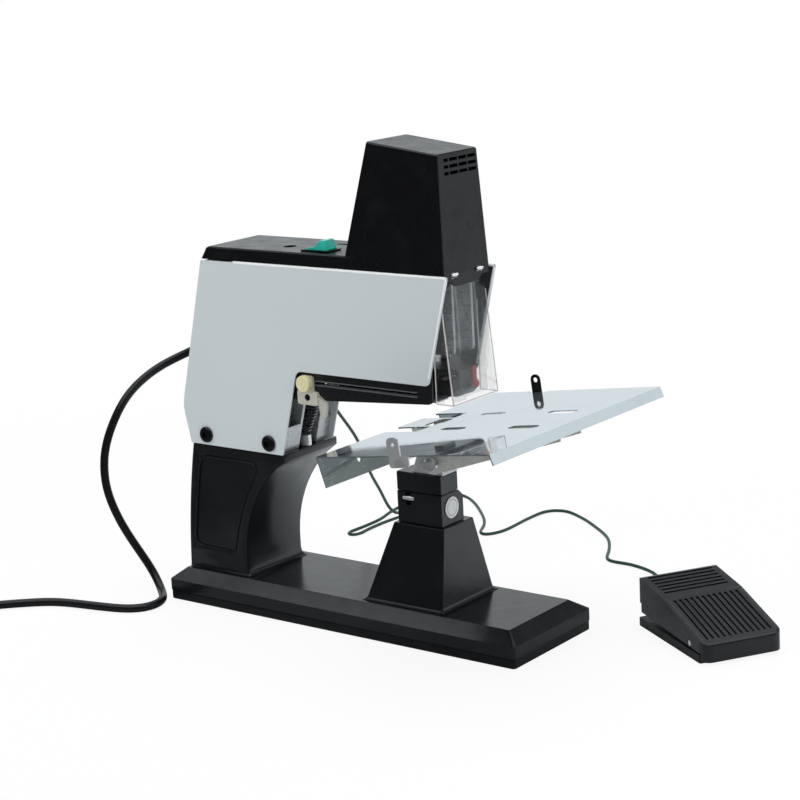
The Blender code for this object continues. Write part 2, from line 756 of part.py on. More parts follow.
def cord_points(route, count):
    """Even points on a Catmull-Rom curve through the route, whose first and last steps stay straight."""
    knots = np.array(route, float)
    share = np.linspace(0, 1, 24, endpoint=False)[:, None]
    pieces = []
    for p0, p1, p2, p3 in zip(knots, knots[1:], knots[2:], knots[3:]):
        pieces.append(0.5 * (2 * p1 + (p2 - p0) * share + (2 * p0 - 5 * p1 + 4 * p2 - p3) * share ** 2
                             + (3 * p1 - p0 - 3 * p2 + p3) * share ** 3))
    dense = np.vstack(pieces + [knots[-2:-1]])
    walked = np.concatenate([[0], np.cumsum(np.linalg.norm(np.diff(dense, axis=0), axis=1))])
    even = np.linspace(0, walked[-1], count - 2)
    middle = np.stack([np.interp(even, walked, dense[:, axis]) for axis in range(3)], axis=1)
    points = np.vstack([knots[:1], middle, knots[-1:]])
    return points, np.linalg.norm(np.diff(points, axis=0), axis=1).sum()


def tube(name, points, diameter, resolution, paint, parent=None):
    """Round tube along points, with filled ends."""
    curve = bpy.data.curves.new(name, "CURVE")
    curve.dimensions = "3D"
    curve.bevel_depth = diameter / 2
    curve.bevel_resolution = resolution
    curve.use_fill_caps = True
    spline = curve.splines.new("POLY")
    spline.points.add(len(points) - 1)
    for knot, point in zip(spline.points, points):
        knot.co = (*point, 1)
    return placed(name, curve, paint, parent)


def least_gap(points, diameter, apart):
    """Smallest clearance of a wound tube to itself, between points more than `apart` steps from each other."""
    points = np.array(points, float)
    distance = np.linalg.norm(points[:, None] - points[None, :], axis=2)
    steps = np.abs(np.arange(len(points))[:, None] - np.arange(len(points))[None, :])
    return distance[steps > apart].min() - diameter


def spring(name, foot, top, radii, wire, turns, paint, parent=None):
    """Open coil spring between two points, from the lower to the upper coil radius."""
    foot, top = Vector(foot), Vector(top)
    axis = (top - foot).normalized()
    side = axis.cross(Vector((0, 1, 0))).normalized()
    other = axis.cross(side)
    per_turn = 9
    points = []
    for step in range(turns * per_turn + 1):
        share = step / (turns * per_turn)
        angle = 2 * math.pi * step / per_turn
        radius = radii[0] + (radii[1] - radii[0]) * share
        points.append(foot + (top - foot) * share + side * radius * math.cos(angle) + other * radius * math.sin(angle))
    print(name, "least gap to itself in mm", round(1000 * least_gap(points, wire, per_turn // 2), 2))
    return tube(name, points, wire, 1, paint, parent)


def flare(height, radius):
    """How far a concave foot stands out at this height over the face it grows from."""
    if height >= radius:
        return 0.0
    return radius - math.sqrt(radius ** 2 - (radius - height) ** 2)


def spread(low, high, count):
    """Evenly spaced values, both ends among them."""
    return [low + (high - low) * step / (count - 1) for step in range(count)]


def base_ring(z, inset, rear_inset):
    """Rounded outline of the base at one height."""
    half = BASE_LENGTH / 2
    side = BASE_WIDTH / 2
    outline = rectangle(-half + rear_inset, half - inset, -side + inset, side - inset, max(BASE_CORNER - inset / 2,
                                                                                           BASE_CORNER / 3), 4)
    return [(a, b, z) for a, b in outline]


def make_base():
    """Heavy base casting over the plate that it stands on."""
    loft("base_plate", [base_ring(0, MAT_INSET, MAT_INSET), base_ring(MAT_HEIGHT, MAT_INSET, MAT_INSET)],
         "black_cast")
    low = MAT_HEIGHT + GAP
    loft("base_casting", [base_ring(low, 0, 0), base_ring(BASE_SIDE_Z, 0, 0),
                          base_ring(BASE_TOP_Z, BASE_BEVEL, BASE_REAR_BEVEL)], "black_cast")


def column_front(z):
    """Front of the column: upright at the waist, a circular arc up to the ledge, the ledge's face over it."""
    ledge_z = COLUMN_TOP_Z - COLUMN_LEDGE_DEPTH
    if z >= ledge_z - GAP / 3:
        return COLUMN_LEDGE_X
    depth = COLUMN_LEDGE_X - COLUMN_WAIST_X
    rise = ledge_z - COLUMN_WAIST_Z
    radius = (depth ** 2 + rise ** 2) / (2 * depth)
    height = max(z - COLUMN_WAIST_Z, 0)
    return COLUMN_WAIST_X + radius - math.sqrt(radius ** 2 - height ** 2)


def column_rear(z):
    """Back of the column: a slight bow between its foot and its top."""
    foot = BASE_TOP_Z + GAP
    share = (z - foot) / (COLUMN_TOP_Z - foot)
    return COLUMN_REAR_X + (COLUMN_TOP_REAR_X - COLUMN_REAR_X) * share - COLUMN_BOW * 4 * share * (1 - share)


def field_front(z, low, top):
    """Front edge of the flank's field: a slight bow between its foot and its top."""
    share = (z - low) / (top - low)
    line = FIELD_FRONT_FOOT_X + (FIELD_FRONT_TOP_X - FIELD_FRONT_FOOT_X) * share
    return line - FIELD_BOW * 4 * share * (1 - share)


def make_column():
    """Column casting: lofted between the base and the body, with a shallow field on each flank."""
    foot = BASE_TOP_Z + GAP
    ledge_z = COLUMN_TOP_Z - COLUMN_LEDGE_DEPTH
    heights = [foot + COLUMN_FLARE * share for share in FLARE_SHARES[:-1]]
    heights += spread(foot + COLUMN_FLARE, ledge_z, COLUMN_RINGS) + [COLUMN_TOP_Z]
    rings = []
    for z in heights:
        out = flare(z - foot, COLUMN_FLARE)
        side = COLUMN_HALF_WIDTH + flare(z - foot, COLUMN_SIDE_FLARE)
        outline = rectangle(column_rear(z), column_front(z) + out, -side, side, COLUMN_CORNER, 2)
        rings.append([(a, b, z) for a, b in outline])
    column = loft("column_casting", rings, "black_cast", smooth=30)
    top = COLUMN_TOP_Z - FIELD_TOP_DROP
    low = foot + FIELD_FOOT_RISE
    corners = [(column_rear(low) + FIELD_MARGIN, low, FIELD_CORNER / 4)]
    corners += [(field_front(z, low, top), z, 0) for z in spread(low, top, FIELD_STEPS)]
    corners += [(column_rear(top) + FIELD_MARGIN, top, FIELD_CORNER / 2)]
    corners[1] = (*corners[1][:2], FIELD_CORNER / 4)
    corners[-2] = (*corners[-2][:2], FIELD_CORNER)
    outline = rounded(corners, 4)
    inner = COLUMN_HALF_WIDTH - FIELD_DEPTH
    outer = COLUMN_HALF_WIDTH + OVERRUN
    fields = prisms("column_fields", [(outline, "Y", -outer, -inner), (outline, "Y", inner, outer)], None)
    cut(column, fields)


def make_pedestal():
    """Pedestal casting: a truncated pyramid with a flared foot."""
    foot = BASE_TOP_Z + GAP
    heights = [foot + PEDESTAL_FLARE * share for share in FLARE_SHARES] + [foot + PEDESTAL_HEIGHT]
    rings = []
    for z in heights:
        share = (z - foot) / PEDESTAL_HEIGHT
        out = flare(z - foot, PEDESTAL_FLARE)
        rear = PEDESTAL_REAR_X + (PEDESTAL_TOP_REAR_X - PEDESTAL_REAR_X) * share - out
        front = PEDESTAL_FRONT_X + (PEDESTAL_TOP_FRONT_X - PEDESTAL_FRONT_X) * share + out
        near = PEDESTAL_NEAR_Y + (PEDESTAL_TOP_NEAR_Y - PEDESTAL_NEAR_Y) * share - out
        far = PEDESTAL_FAR_Y + (PEDESTAL_TOP_FAR_Y - PEDESTAL_FAR_Y) * share + out
        rings.append([(a, b, z) for a, b in rectangle(rear, front, near, far, PEDESTAL_CORNER, 2)])
    loft("pedestal_casting", rings, "black_cast", smooth=30)


def make_block():
    """Anvil block: lower half with the lock's cross slot and chamfered far side, upper half over it."""
    lower_top = BLOCK_SPLIT_Z
    profile = rounded([(BLOCK_NEAR_Y, BLOCK_FOOT_Z, 0), (BLOCK_FAR_Y, BLOCK_FOOT_Z, 0),
                       (BLOCK_FAR_Y, lower_top - BLOCK_CHAMFER, 0), (BLOCK_UPPER_FAR_Y + GAP, lower_top, 0),
                       (BLOCK_NEAR_Y, lower_top, BLOCK_EDGE)], 2)
    lower = prism("anvil_block_lower", profile, "X", BLOCK_REAR_X, BLOCK_FRONT_X, "black_cast")
    slot_z = lower_top - SLOT_DROP
    inner = BLOCK_NEAR_Y + SLOT_DEPTH
    upright = rectangle(SLOT_X - SLOT_NARROW / 2, SLOT_X + SLOT_NARROW / 2, slot_z - SLOT_TALL / 2,
                        slot_z + SLOT_TALL / 2, SLOT_NARROW / 4)
    level = rectangle(SLOT_X - SLOT_LONG / 2, SLOT_X + SLOT_LONG / 2, slot_z - SLOT_LOW / 2, slot_z + SLOT_LOW / 2,
                      SLOT_LOW / 3)
    cut(lower, prism("lock_slot_upright", upright, "Y", BLOCK_NEAR_Y - OVERRUN, inner, None),
        prism("lock_slot_level", level, "Y", BLOCK_NEAR_Y - OVERRUN, inner, None))
    upper_low = lower_top + GAP
    rim = rectangle(BLOCK_NEAR_Y, BLOCK_UPPER_FAR_Y, upper_low, BLOCK_TOP_Z, BLOCK_EDGE, 2)
    prism("anvil_block_upper", rim, "X", BLOCK_REAR_X, BLOCK_FRONT_X, "black_cast")
    reach = SLOT_LONG / 2 - LOCK_SIDE_PLAY
    seat = BLOCK_NEAR_Y + SLOT_DEPTH - GAP
    body = turned("lock_lever", [(LOCK_RADIUS, 0), (LOCK_RADIUS, 2 * reach)], (1, 0, 0),
                  (SLOT_X - reach, BLOCK_NEAR_Y + LOCK_RADIUS, slot_z), "bright_steel", segments=12)
    stem = prism("lock_stem", circle(SLOT_X, slot_z, LOCK_RADIUS * NECK_SHARE, 12), "Y", BLOCK_NEAR_Y + LOCK_RADIUS, seat, None)
    fuse(body, stem)
    turned("front_disc", [(DISC_RADIUS, 0), (DISC_RADIUS, DISC_THICK)], (1, 0, 0),
           (BLOCK_FRONT_X + GAP, DISC_Y, lower_top - DISC_DROP), "pale", segments=28)


def plate_under(x):
    """Height of the table sheet's underside at rest over a point of the machine's length."""
    run = x - TABLE_PIVOT_X
    return TABLE_PIVOT_Z + (TABLE_RISE - TABLE_SHEET) / math.cos(TABLE_TILT) + run * math.tan(TABLE_TILT)


def make_anvil():
    """Post on the block, the pin that the table turns on, and the steel anvil under the table's cross slot."""
    anvil_top = plate_under(ANVIL_X) - ANVIL_BELOW_PLATE
    anvil_low = anvil_top - ANVIL_THICK
    profile = rounded([(POST_REAR_X, BLOCK_TOP_Z + GAP, 0), (POST_FRONT_X, BLOCK_TOP_Z + GAP, 0),
                       (ANVIL_X + ANVIL_LENGTH, anvil_low - GAP, GAP), (ANVIL_X - ANVIL_LENGTH, anvil_low - GAP, GAP)])
    post = prism("anvil_post", profile, "Y", POST_NEAR_Y, POST_FAR_Y, "black_cast")
    bore = prism("pin_bore", circle(TABLE_PIVOT_X, TABLE_PIVOT_Z, PIN_RADIUS + RUNNING, 16), "Y",
                 POST_NEAR_Y - OVERRUN, POST_FAR_Y + OVERRUN, None)
    cut(post, bore)
    half = ANVIL_LENGTH / 2
    anvil = prism("anvil", rectangle(ANVIL_X - half, ANVIL_X + half, anvil_low, anvil_top, ANVIL_GROOVE / 2, 2), "Y",
                  HEAD_Y - ANVIL_WIDTH / 2, HEAD_Y + ANVIL_WIDTH / 2, "bright_steel")
    grooves = []
    for side in (-1, 1):
        middle = HEAD_Y + side * STRIP_WIDTH / 4
        grooves.append((rectangle(middle - STRIP_WIDTH / 5, middle + STRIP_WIDTH / 5, anvil_top - ANVIL_GROOVE,
                                  anvil_top + OVERRUN), "X", ANVIL_X - ANVIL_GROOVE, ANVIL_X + ANVIL_GROOVE))
    cut(anvil, prisms("clinch_grooves", grooves, None))
    near = BRACKET_NEAR_Y - RUNNING
    far = BRACKET_NEAR_Y + BRACKET_WIDTH + BRACKET_SHEET
    rods("table_pin", [((TABLE_PIVOT_X, near, TABLE_PIVOT_Z), PIN_RADIUS, far - near)], (0, 1, 0), "bright_steel")


def make_table():
    """Folded sheet with its slots, the bracket under it, two tabs and the wing screw, drawn about the pivot."""
    hinge = joint_empty("table_hinge", (TABLE_PIVOT_X, 0, TABLE_PIVOT_Z), (0, -TABLE_TILT, 0), False)
    top = TABLE_RISE
    lip = (TABLE_FRONT + TABLE_LIP * math.sin(TABLE_LIP_LEAN), top - TABLE_LIP * math.cos(TABLE_LIP_LEAN))
    flap = (TABLE_REAR + TABLE_FLAP * math.sin(TABLE_FLAP_LEAN), top - TABLE_FLAP * math.cos(TABLE_FLAP_LEAN))
    profile = bent_sheet([flap, (TABLE_REAR, top), (TABLE_FRONT, top), lip], TABLE_SHEET)
    sheet = prism("table_plate", profile, "Y", TABLE_NEAR_Y, TABLE_FAR_Y, "bright_steel", hinge)
    low = top - TABLE_SHEET - OVERRUN / 2
    high = top + OVERRUN / 2
    rear = TABLE_REAR - OVERRUN
    slots = []
    for y in (GUIDE_SLOT_NEAR_Y, GUIDE_SLOT_FAR_Y):
        slots.append((rectangle(rear, TABLE_REAR + GUIDE_SLOT_LENGTH, y, y + GUIDE_SLOT_WIDTH), "Z", low, high))
    stitch = ANVIL_X - TABLE_PIVOT_X + TABLE_RISE * math.sin(TABLE_TILT)
    slots.append((rectangle(stitch - STITCH_SLOT_LENGTH / 2, stitch + STITCH_SLOT_LENGTH / 2,
                            HEAD_Y - STITCH_SLOT_WIDTH / 2, HEAD_Y + STITCH_SLOT_WIDTH / 2,
                            STITCH_SLOT_LENGTH / 4), "Z", low, high))
    for side in (-1, 1):
        middle = HEAD_Y + side * SLOT_PAIR_OFFSET
        for x, length, width in ((MIDDLE_SLOT_X, MIDDLE_SLOT_LENGTH, MIDDLE_SLOT_WIDTH),
                                 (FRONT_SLOT_X, FRONT_SLOT_LENGTH, FRONT_SLOT_WIDTH)):
            slots.append((rectangle(x - length / 2, x + length / 2, middle - width / 2, middle + width / 2,
                                    width / 2 - GAP, 4), "Z", low, high))
    slots.append((rectangle(NOTCH_X - NOTCH_LENGTH / 2, NOTCH_X + NOTCH_LENGTH / 2, TABLE_FAR_Y - NOTCH_DEPTH,
                            TABLE_FAR_Y + OVERRUN), "Z", low, high))
    cut(sheet, prisms("table_slots", slots, None, hinge))
    between = rectangle(FLAP_NEAR_END_Y, FLAP_FAR_END_Y, top - TABLE_FLAP - OVERRUN, top - TABLE_SHEET - GAP)
    cut(sheet, prism("flap_gap", between, "X", TABLE_REAR - OVERRUN, flap[0] + OVERRUN, None, hinge))
    drop = top - TABLE_FLAP * math.cos(TABLE_FLAP_LEAN) / 2
    holes = [circle(y, drop, FLAP_HOLE_RADIUS, 12) for y in (TABLE_NEAR_Y + FLAP_HOLE_IN, TABLE_FAR_Y - FLAP_HOLE_IN)]
    cut(sheet, prisms("flap_holes", [(hole, "X", rear, flap[0] + OVERRUN) for hole in holes], None, hinge))
    make_bracket(hinge)
    make_tabs(hinge)
    return hinge


def make_bracket(hinge):
    """Channel under the sheet: a web and two tapered flanges that turn on the pin."""
    high = TABLE_RISE - TABLE_SHEET - GAP
    far = BRACKET_NEAR_Y + BRACKET_WIDTH
    lobe_turns = [math.radians(angle) for angle in range(165, 301, 15)]
    outline = [(BRACKET_LOBE * math.cos(turn), BRACKET_LOBE * math.sin(turn)) for turn in lobe_turns]
    outline += [(BRACKET_FRONT, high - BRACKET_END_HEIGHT), (BRACKET_FRONT, high), (BRACKET_REAR, high)]
    near_flange = prism("table_bracket", outline, "Y", BRACKET_NEAR_Y, BRACKET_NEAR_Y + BRACKET_SHEET, "grey_steel",
                        hinge)
    far_flange = prism("bracket_far_flange", outline, "Y", far - BRACKET_SHEET, far, None, hinge)
    web_rear = ANVIL_X - TABLE_PIVOT_X + STITCH_SLOT_LENGTH + OVERRUN
    web = prism("bracket_web", rectangle(web_rear, BRACKET_FRONT - GAP, BRACKET_NEAR_Y + GAP, far - GAP), "Z",
                high - BRACKET_SHEET, high - GAP / 2, None, hinge)
    fuse(near_flange, far_flange, web)
    bore = prism("bracket_bore", circle(0, 0, PIN_RADIUS + RUNNING, 16), "Y", BRACKET_NEAR_Y - OVERRUN, far + OVERRUN,
                 None, hinge)
    cut(near_flange, bore)
    knob = joint_empty("wing_screw_turn", (TABLE_PIVOT_X, 0, TABLE_PIVOT_Z))
    outer = BRACKET_NEAR_Y - GAP - RUNNING
    hub = turned("table_wing_screw", [(WING_HUB_RADIUS, 0), (WING_HUB_RADIUS, WING_HUB_LENGTH * WING_HUB_SHARES[0]),
                                      (WING_HUB_RADIUS * WING_HUB_SHARES[1], WING_HUB_LENGTH)], (0, -1, 0),
                 (TABLE_PIVOT_X, outer, TABLE_PIVOT_Z), "bright_steel", knob, segments=16)
    for side, label in ((-1, "rear"), (1, "front")):
        root = TABLE_PIVOT_X + side * WING_HUB_RADIUS * WING_ROOT_SHARE
        tip = TABLE_PIVOT_X + side * WING_SPAN / 2
        tip_y = outer - WING_HUB_LENGTH * WING_TIP_SHARE
        wing = rounded([(root, outer - GAP, 0), (tip, tip_y, WING_WIDTH / 3), (tip, tip_y - WING_WIDTH, WING_WIDTH / 3),
                        (root, outer - WING_HUB_LENGTH * WING_FOOT_SHARE, 0)], 4)
        fuse(hub, prism("wing_" + label, wing, "Z", TABLE_PIVOT_Z - WING_THICK / 2, TABLE_PIVOT_Z + WING_THICK / 2,
                        None, knob))


def make_tabs(hinge):
    """Two bent tabs on the sheet's edges: an upright with a hole, and a foot under the sheet."""
    top = TABLE_RISE
    under = top - TABLE_SHEET - GAP
    face = TABLE_NEAR_Y - GAP
    left = NEAR_TAB_X - NEAR_TAB_WIDTH / 2
    right = NEAR_TAB_X + NEAR_TAB_WIDTH / 2
    ear_left = NEAR_TAB_X + NEAR_EAR_SHIFT - NEAR_EAR_WIDTH / 2
    ear_right = NEAR_TAB_X + NEAR_EAR_SHIFT + NEAR_EAR_WIDTH / 2
    outline = rounded([(left, top + NEAR_TAB_HEIGHT, NEAR_TAB_WIDTH / 3), (left, top, 0), (ear_left, top, 0),
                       (ear_left, top - NEAR_EAR_DROP, NEAR_TAB_WIDTH / 5),
                       (ear_right, top - NEAR_EAR_DROP, NEAR_TAB_WIDTH / 5), (ear_right, top, 0), (right, top, 0),
                       (right, top + NEAR_TAB_HEIGHT, NEAR_TAB_WIDTH / 3)], 4)
    near = prism("near_tab", outline, "Y", face - TAB_SHEET, face, "bright_steel", hinge)
    foot = prism("near_tab_foot", rectangle(ear_left, ear_right, face - TAB_SHEET / 2, face + TAB_FOOT), "Z",
                 under - TAB_SHEET, under, None, hinge)
    fuse(near, foot)
    hole_z = top + NEAR_TAB_HEIGHT - NEAR_TAB_WIDTH / 2
    ear_z = top - NEAR_EAR_DROP * EAR_DROP_SHARE
    ear_x = NEAR_TAB_X + NEAR_EAR_SHIFT
    reach, rise, corner = [EAR_HOLE_RADIUS * share for share in EAR_HOLE_SHARES]
    long_hole = rectangle(ear_x - reach, ear_x + reach, ear_z - EAR_HOLE_RADIUS, ear_z + rise, corner, 4)
    cut(near, prisms("near_tab_holes", [(circle(NEAR_TAB_X, hole_z, TAB_HOLE_RADIUS, 12), "Y",
                                         face - TAB_SHEET - OVERRUN, face + OVERRUN),
                                        (long_hole, "Y", face - TAB_SHEET - OVERRUN, face - GAP / 3)], None, hinge))
    face = TABLE_FAR_Y - NOTCH_DEPTH + GAP
    outline = rounded([(NOTCH_X - FAR_TAB_WIDTH / 2, under - TAB_SHEET, 0),
                       (NOTCH_X + FAR_TAB_WIDTH / 2, under - TAB_SHEET, 0),
                       (NOTCH_X + FAR_TAB_WIDTH / 2, top + FAR_TAB_HEIGHT, FAR_TAB_WIDTH / 2.1),
                       (NOTCH_X - FAR_TAB_WIDTH / 2, top + FAR_TAB_HEIGHT, FAR_TAB_WIDTH / 2.1)], 5)
    far = prism("far_tab", outline, "Y", face, face + TAB_SHEET, "dark_steel", hinge)
    foot = prism("far_tab_foot", rectangle(NOTCH_X - FAR_TAB_WIDTH / 2, NOTCH_X + FAR_TAB_WIDTH / 2, face - TAB_FOOT,
                                           face + TAB_SHEET / 2), "Z", under - TAB_SHEET, under, None, hinge)
    fuse(far, foot)
    hole_z = top + FAR_TAB_HEIGHT - FAR_TAB_WIDTH / 2
    cut(far, prism("far_tab_hole", circle(NOTCH_X, hole_z, FAR_HOLE_RADIUS, 12), "Y", face - OVERRUN, face + OVERRUN,
                   None, hinge))


def rear_x(z):
    """Outer line of the body's back at one height: out to the bulge, then forward to the top."""
    bulge_z = PANEL_FOOT_Z + PANEL_BULGE_RISE
    if z <= bulge_z:
        share = (z - PANEL_FOOT_Z) / PANEL_BULGE_RISE
        return COLUMN_TOP_REAR_X + (PANEL_BULGE_X - COLUMN_TOP_REAR_X) * share
    share = (z - bulge_z) / (PANEL_TOP_Z - bulge_z)
    return PANEL_BULGE_X + (PANEL_TOP_REAR_X - PANEL_BULGE_X) * share


def throat_x(z):
    """Leaning rear edge of the throat at one height."""
    share = (z - PANEL_FOOT_Z) / (THROAT_TOP_Z - PANEL_FOOT_Z)
    return THROAT_FOOT_X + (THROAT_X - THROAT_FOOT_X) * share


def make_side_panels():
    """White sheet panels over both flanks, and the domed screws that hold them."""
    outline = rounded([(COLUMN_TOP_REAR_X, PANEL_FOOT_Z, 0), (PANEL_BULGE_X, PANEL_FOOT_Z + PANEL_BULGE_RISE,
                                                              6 * PANEL_CORNER),
                       (PANEL_TOP_REAR_X, PANEL_TOP_Z - PANEL_STEP, PANEL_CORNER / 4),
                       (PANEL_STEP_X - PANEL_STEP, PANEL_TOP_Z - PANEL_STEP, 0), (PANEL_STEP_X, PANEL_TOP_Z, 0),
                       (PANEL_FRONT_X, PANEL_TOP_Z, PANEL_CORNER / 4),
                       (PANEL_FRONT_LOW_X, THROAT_TOP_Z, PANEL_CORNER), (THROAT_X, THROAT_TOP_Z, THROAT_CORNER),
                       (THROAT_FOOT_X, PANEL_FOOT_Z, PANEL_CORNER / 4)], 4)
    near = prism("near_side_panel", outline, "Y", BODY_NEAR_Y, BODY_NEAR_Y + PANEL_SHEET, "white_panel")
    far = prism("far_side_panel", outline, "Y", BODY_FAR_Y - PANEL_SHEET, BODY_FAR_Y, "white_panel")
    flange = rectangle(PANEL_STEP_X + PANEL_SHEET, FRAME_HEAD_X, PANEL_TOP_Z - PANEL_SHEET, PANEL_TOP_Z - GAP / 3)
    fuse(near, prism("near_top_flange", flange, "Y", BODY_NEAR_Y + PANEL_SHEET / 2, BODY_NEAR_Y + TOP_FLANGE, None))
    fuse(far, prism("far_top_flange", flange, "Y", BODY_FAR_Y - TOP_FLANGE, BODY_FAR_Y - PANEL_SHEET / 2, None))
    screw_z = PANEL_FOOT_Z + SCREW_RISE
    holes = [circle(x, screw_z, SCREW_SHANK_RADIUS + GAP, 12) for x in (SCREW_REAR_X, SCREW_FRONT_X)]
    cut(near, prisms("near_screw_holes", [(hole, "Y", BODY_NEAR_Y - OVERRUN, BODY_NEAR_Y + OVERRUN)
                                          for hole in holes], None))
    socket_z = PANEL_FOOT_Z + SOCKET_RISE
    holes.append(circle(SOCKET_X, socket_z, SOCKET_STUB_RADIUS + GAP, 14))
    cut(far, prisms("far_screw_holes", [(hole, "Y", BODY_FAR_Y - OVERRUN, BODY_FAR_Y + OVERRUN) for hole in holes],
                    None))
    make_panel_screws(screw_z)


def make_panel_screws(screw_z):
    """Four domed screws through the panels into the bosses of the frame plates."""
    dome = [(SCREW_HEAD_RADIUS * radius, SCREW_HEAD_HEIGHT * height + GAP) for radius, height in SCREW_DOME_SHARES]
    end = GAP - 2 * PANEL_SHEET - BOSS_RADIUS
    profile = dome + [(SCREW_SHANK_RADIUS, GAP), (SCREW_SHANK_RADIUS, end)]
    for label, side, face in (("near", -1, BODY_NEAR_Y), ("far", 1, BODY_FAR_Y)):
        for place, x in (("rear", SCREW_REAR_X), ("front", SCREW_FRONT_X)):
            turned(f"{label}_{place}_screw", profile, (0, side, 0), (x, face, screw_z), "black_plastic")


def make_rear_panel():
    """Bent sheet closing the body's back, the cord gland in it and the pedal's socket and plug."""
    inset = REAR_INSET
    bulge_z = PANEL_FOOT_Z + PANEL_BULGE_RISE
    top = PANEL_TOP_Z - PANEL_STEP - GAP
    line = [(rear_x(top) + inset, top), (PANEL_BULGE_X + inset, bulge_z),
            (COLUMN_TOP_REAR_X + inset, PANEL_FOOT_Z)]
    outline = bent_sheet(list(reversed(line)), PANEL_SHEET)
    low_y = BODY_NEAR_Y + PANEL_SHEET + GAP
    high_y = BODY_FAR_Y - PANEL_SHEET - GAP
    panel = prism("rear_panel", outline, "Y", low_y, high_y, "white_panel")
    gland_z = PANEL_FOOT_Z + GLAND_RISE
    lean = math.atan2(PANEL_TOP_REAR_X - PANEL_BULGE_X, PANEL_TOP_Z - bulge_z)
    axis = Vector((-math.cos(lean), 0, math.sin(lean)))
    face = Vector((rear_x(gland_z) + inset, GLAND_Y, gland_z))
    hole = turned("gland_hole", [(GLAND_STUB_RADIUS + GAP, -2 * OVERRUN), (GLAND_STUB_RADIUS + GAP, OVERRUN)],
                  axis, face, None)
    cut(panel, hole)
    profile = [(GLAND_RADIUS * radius, GAP + GLAND_LENGTH * length) for radius, length in GLAND_SHARES]
    stub = [(GLAND_STUB_RADIUS, -GLAND_STUB_RADIUS), (GLAND_STUB_RADIUS, GAP)]
    turned("cord_gland", stub + profile, axis, face, "black_plastic")
    socket_z = PANEL_FOOT_Z + SOCKET_RISE
    socket = [(0, -SOCKET_STUB), (SOCKET_STUB_RADIUS, -SOCKET_STUB), (SOCKET_STUB_RADIUS, GAP), (SOCKET_RADIUS, GAP),
              (SOCKET_RADIUS, GAP + SOCKET_FLANGE), (0, GAP + SOCKET_FLANGE)]
    turned("pedal_socket", socket, (0, 1, 0), (SOCKET_X, BODY_FAR_Y, socket_z), "grey_steel", segments=16)
    jack = [(JACK_RADIUS * radius, JACK_LENGTH * length) for radius, length in JACK_SHARES]
    turned("pedal_jack", jack, (0, 1, 0), (SOCKET_X, BODY_FAR_Y + 2 * GAP + SOCKET_FLANGE, socket_z), "black_plastic",
           segments=16)
    return face + axis * (GAP + GLAND_LENGTH), axis


def join_bosses(plate, name, low_y, high_y):
    """Join the round bosses that the panel screws go into onto a frame plate."""
    screw_z = PANEL_FOOT_Z + SCREW_RISE
    for x in (SCREW_REAR_X, SCREW_FRONT_X):
        fuse(plate, prism(f"{name}_boss_{x:.2f}", circle(x, screw_z, BOSS_RADIUS, 16), "Y", low_y, high_y, None))
    outer, sign = (low_y, 1) if low_y < FRAME_CENTRE_Y - FRAME_INNER / 2 else (high_y, -1)
    ends = sorted((outer - sign * OVERRUN, outer + sign * (2 * PANEL_SHEET + BOSS_RADIUS)))
    bores = [(circle(x, screw_z, SCREW_SHANK_RADIUS + GAP, 12), "Y", *ends) for x in (SCREW_REAR_X, SCREW_FRONT_X)]
    cut(plate, prisms(name + "_screw_bores", bores, None))


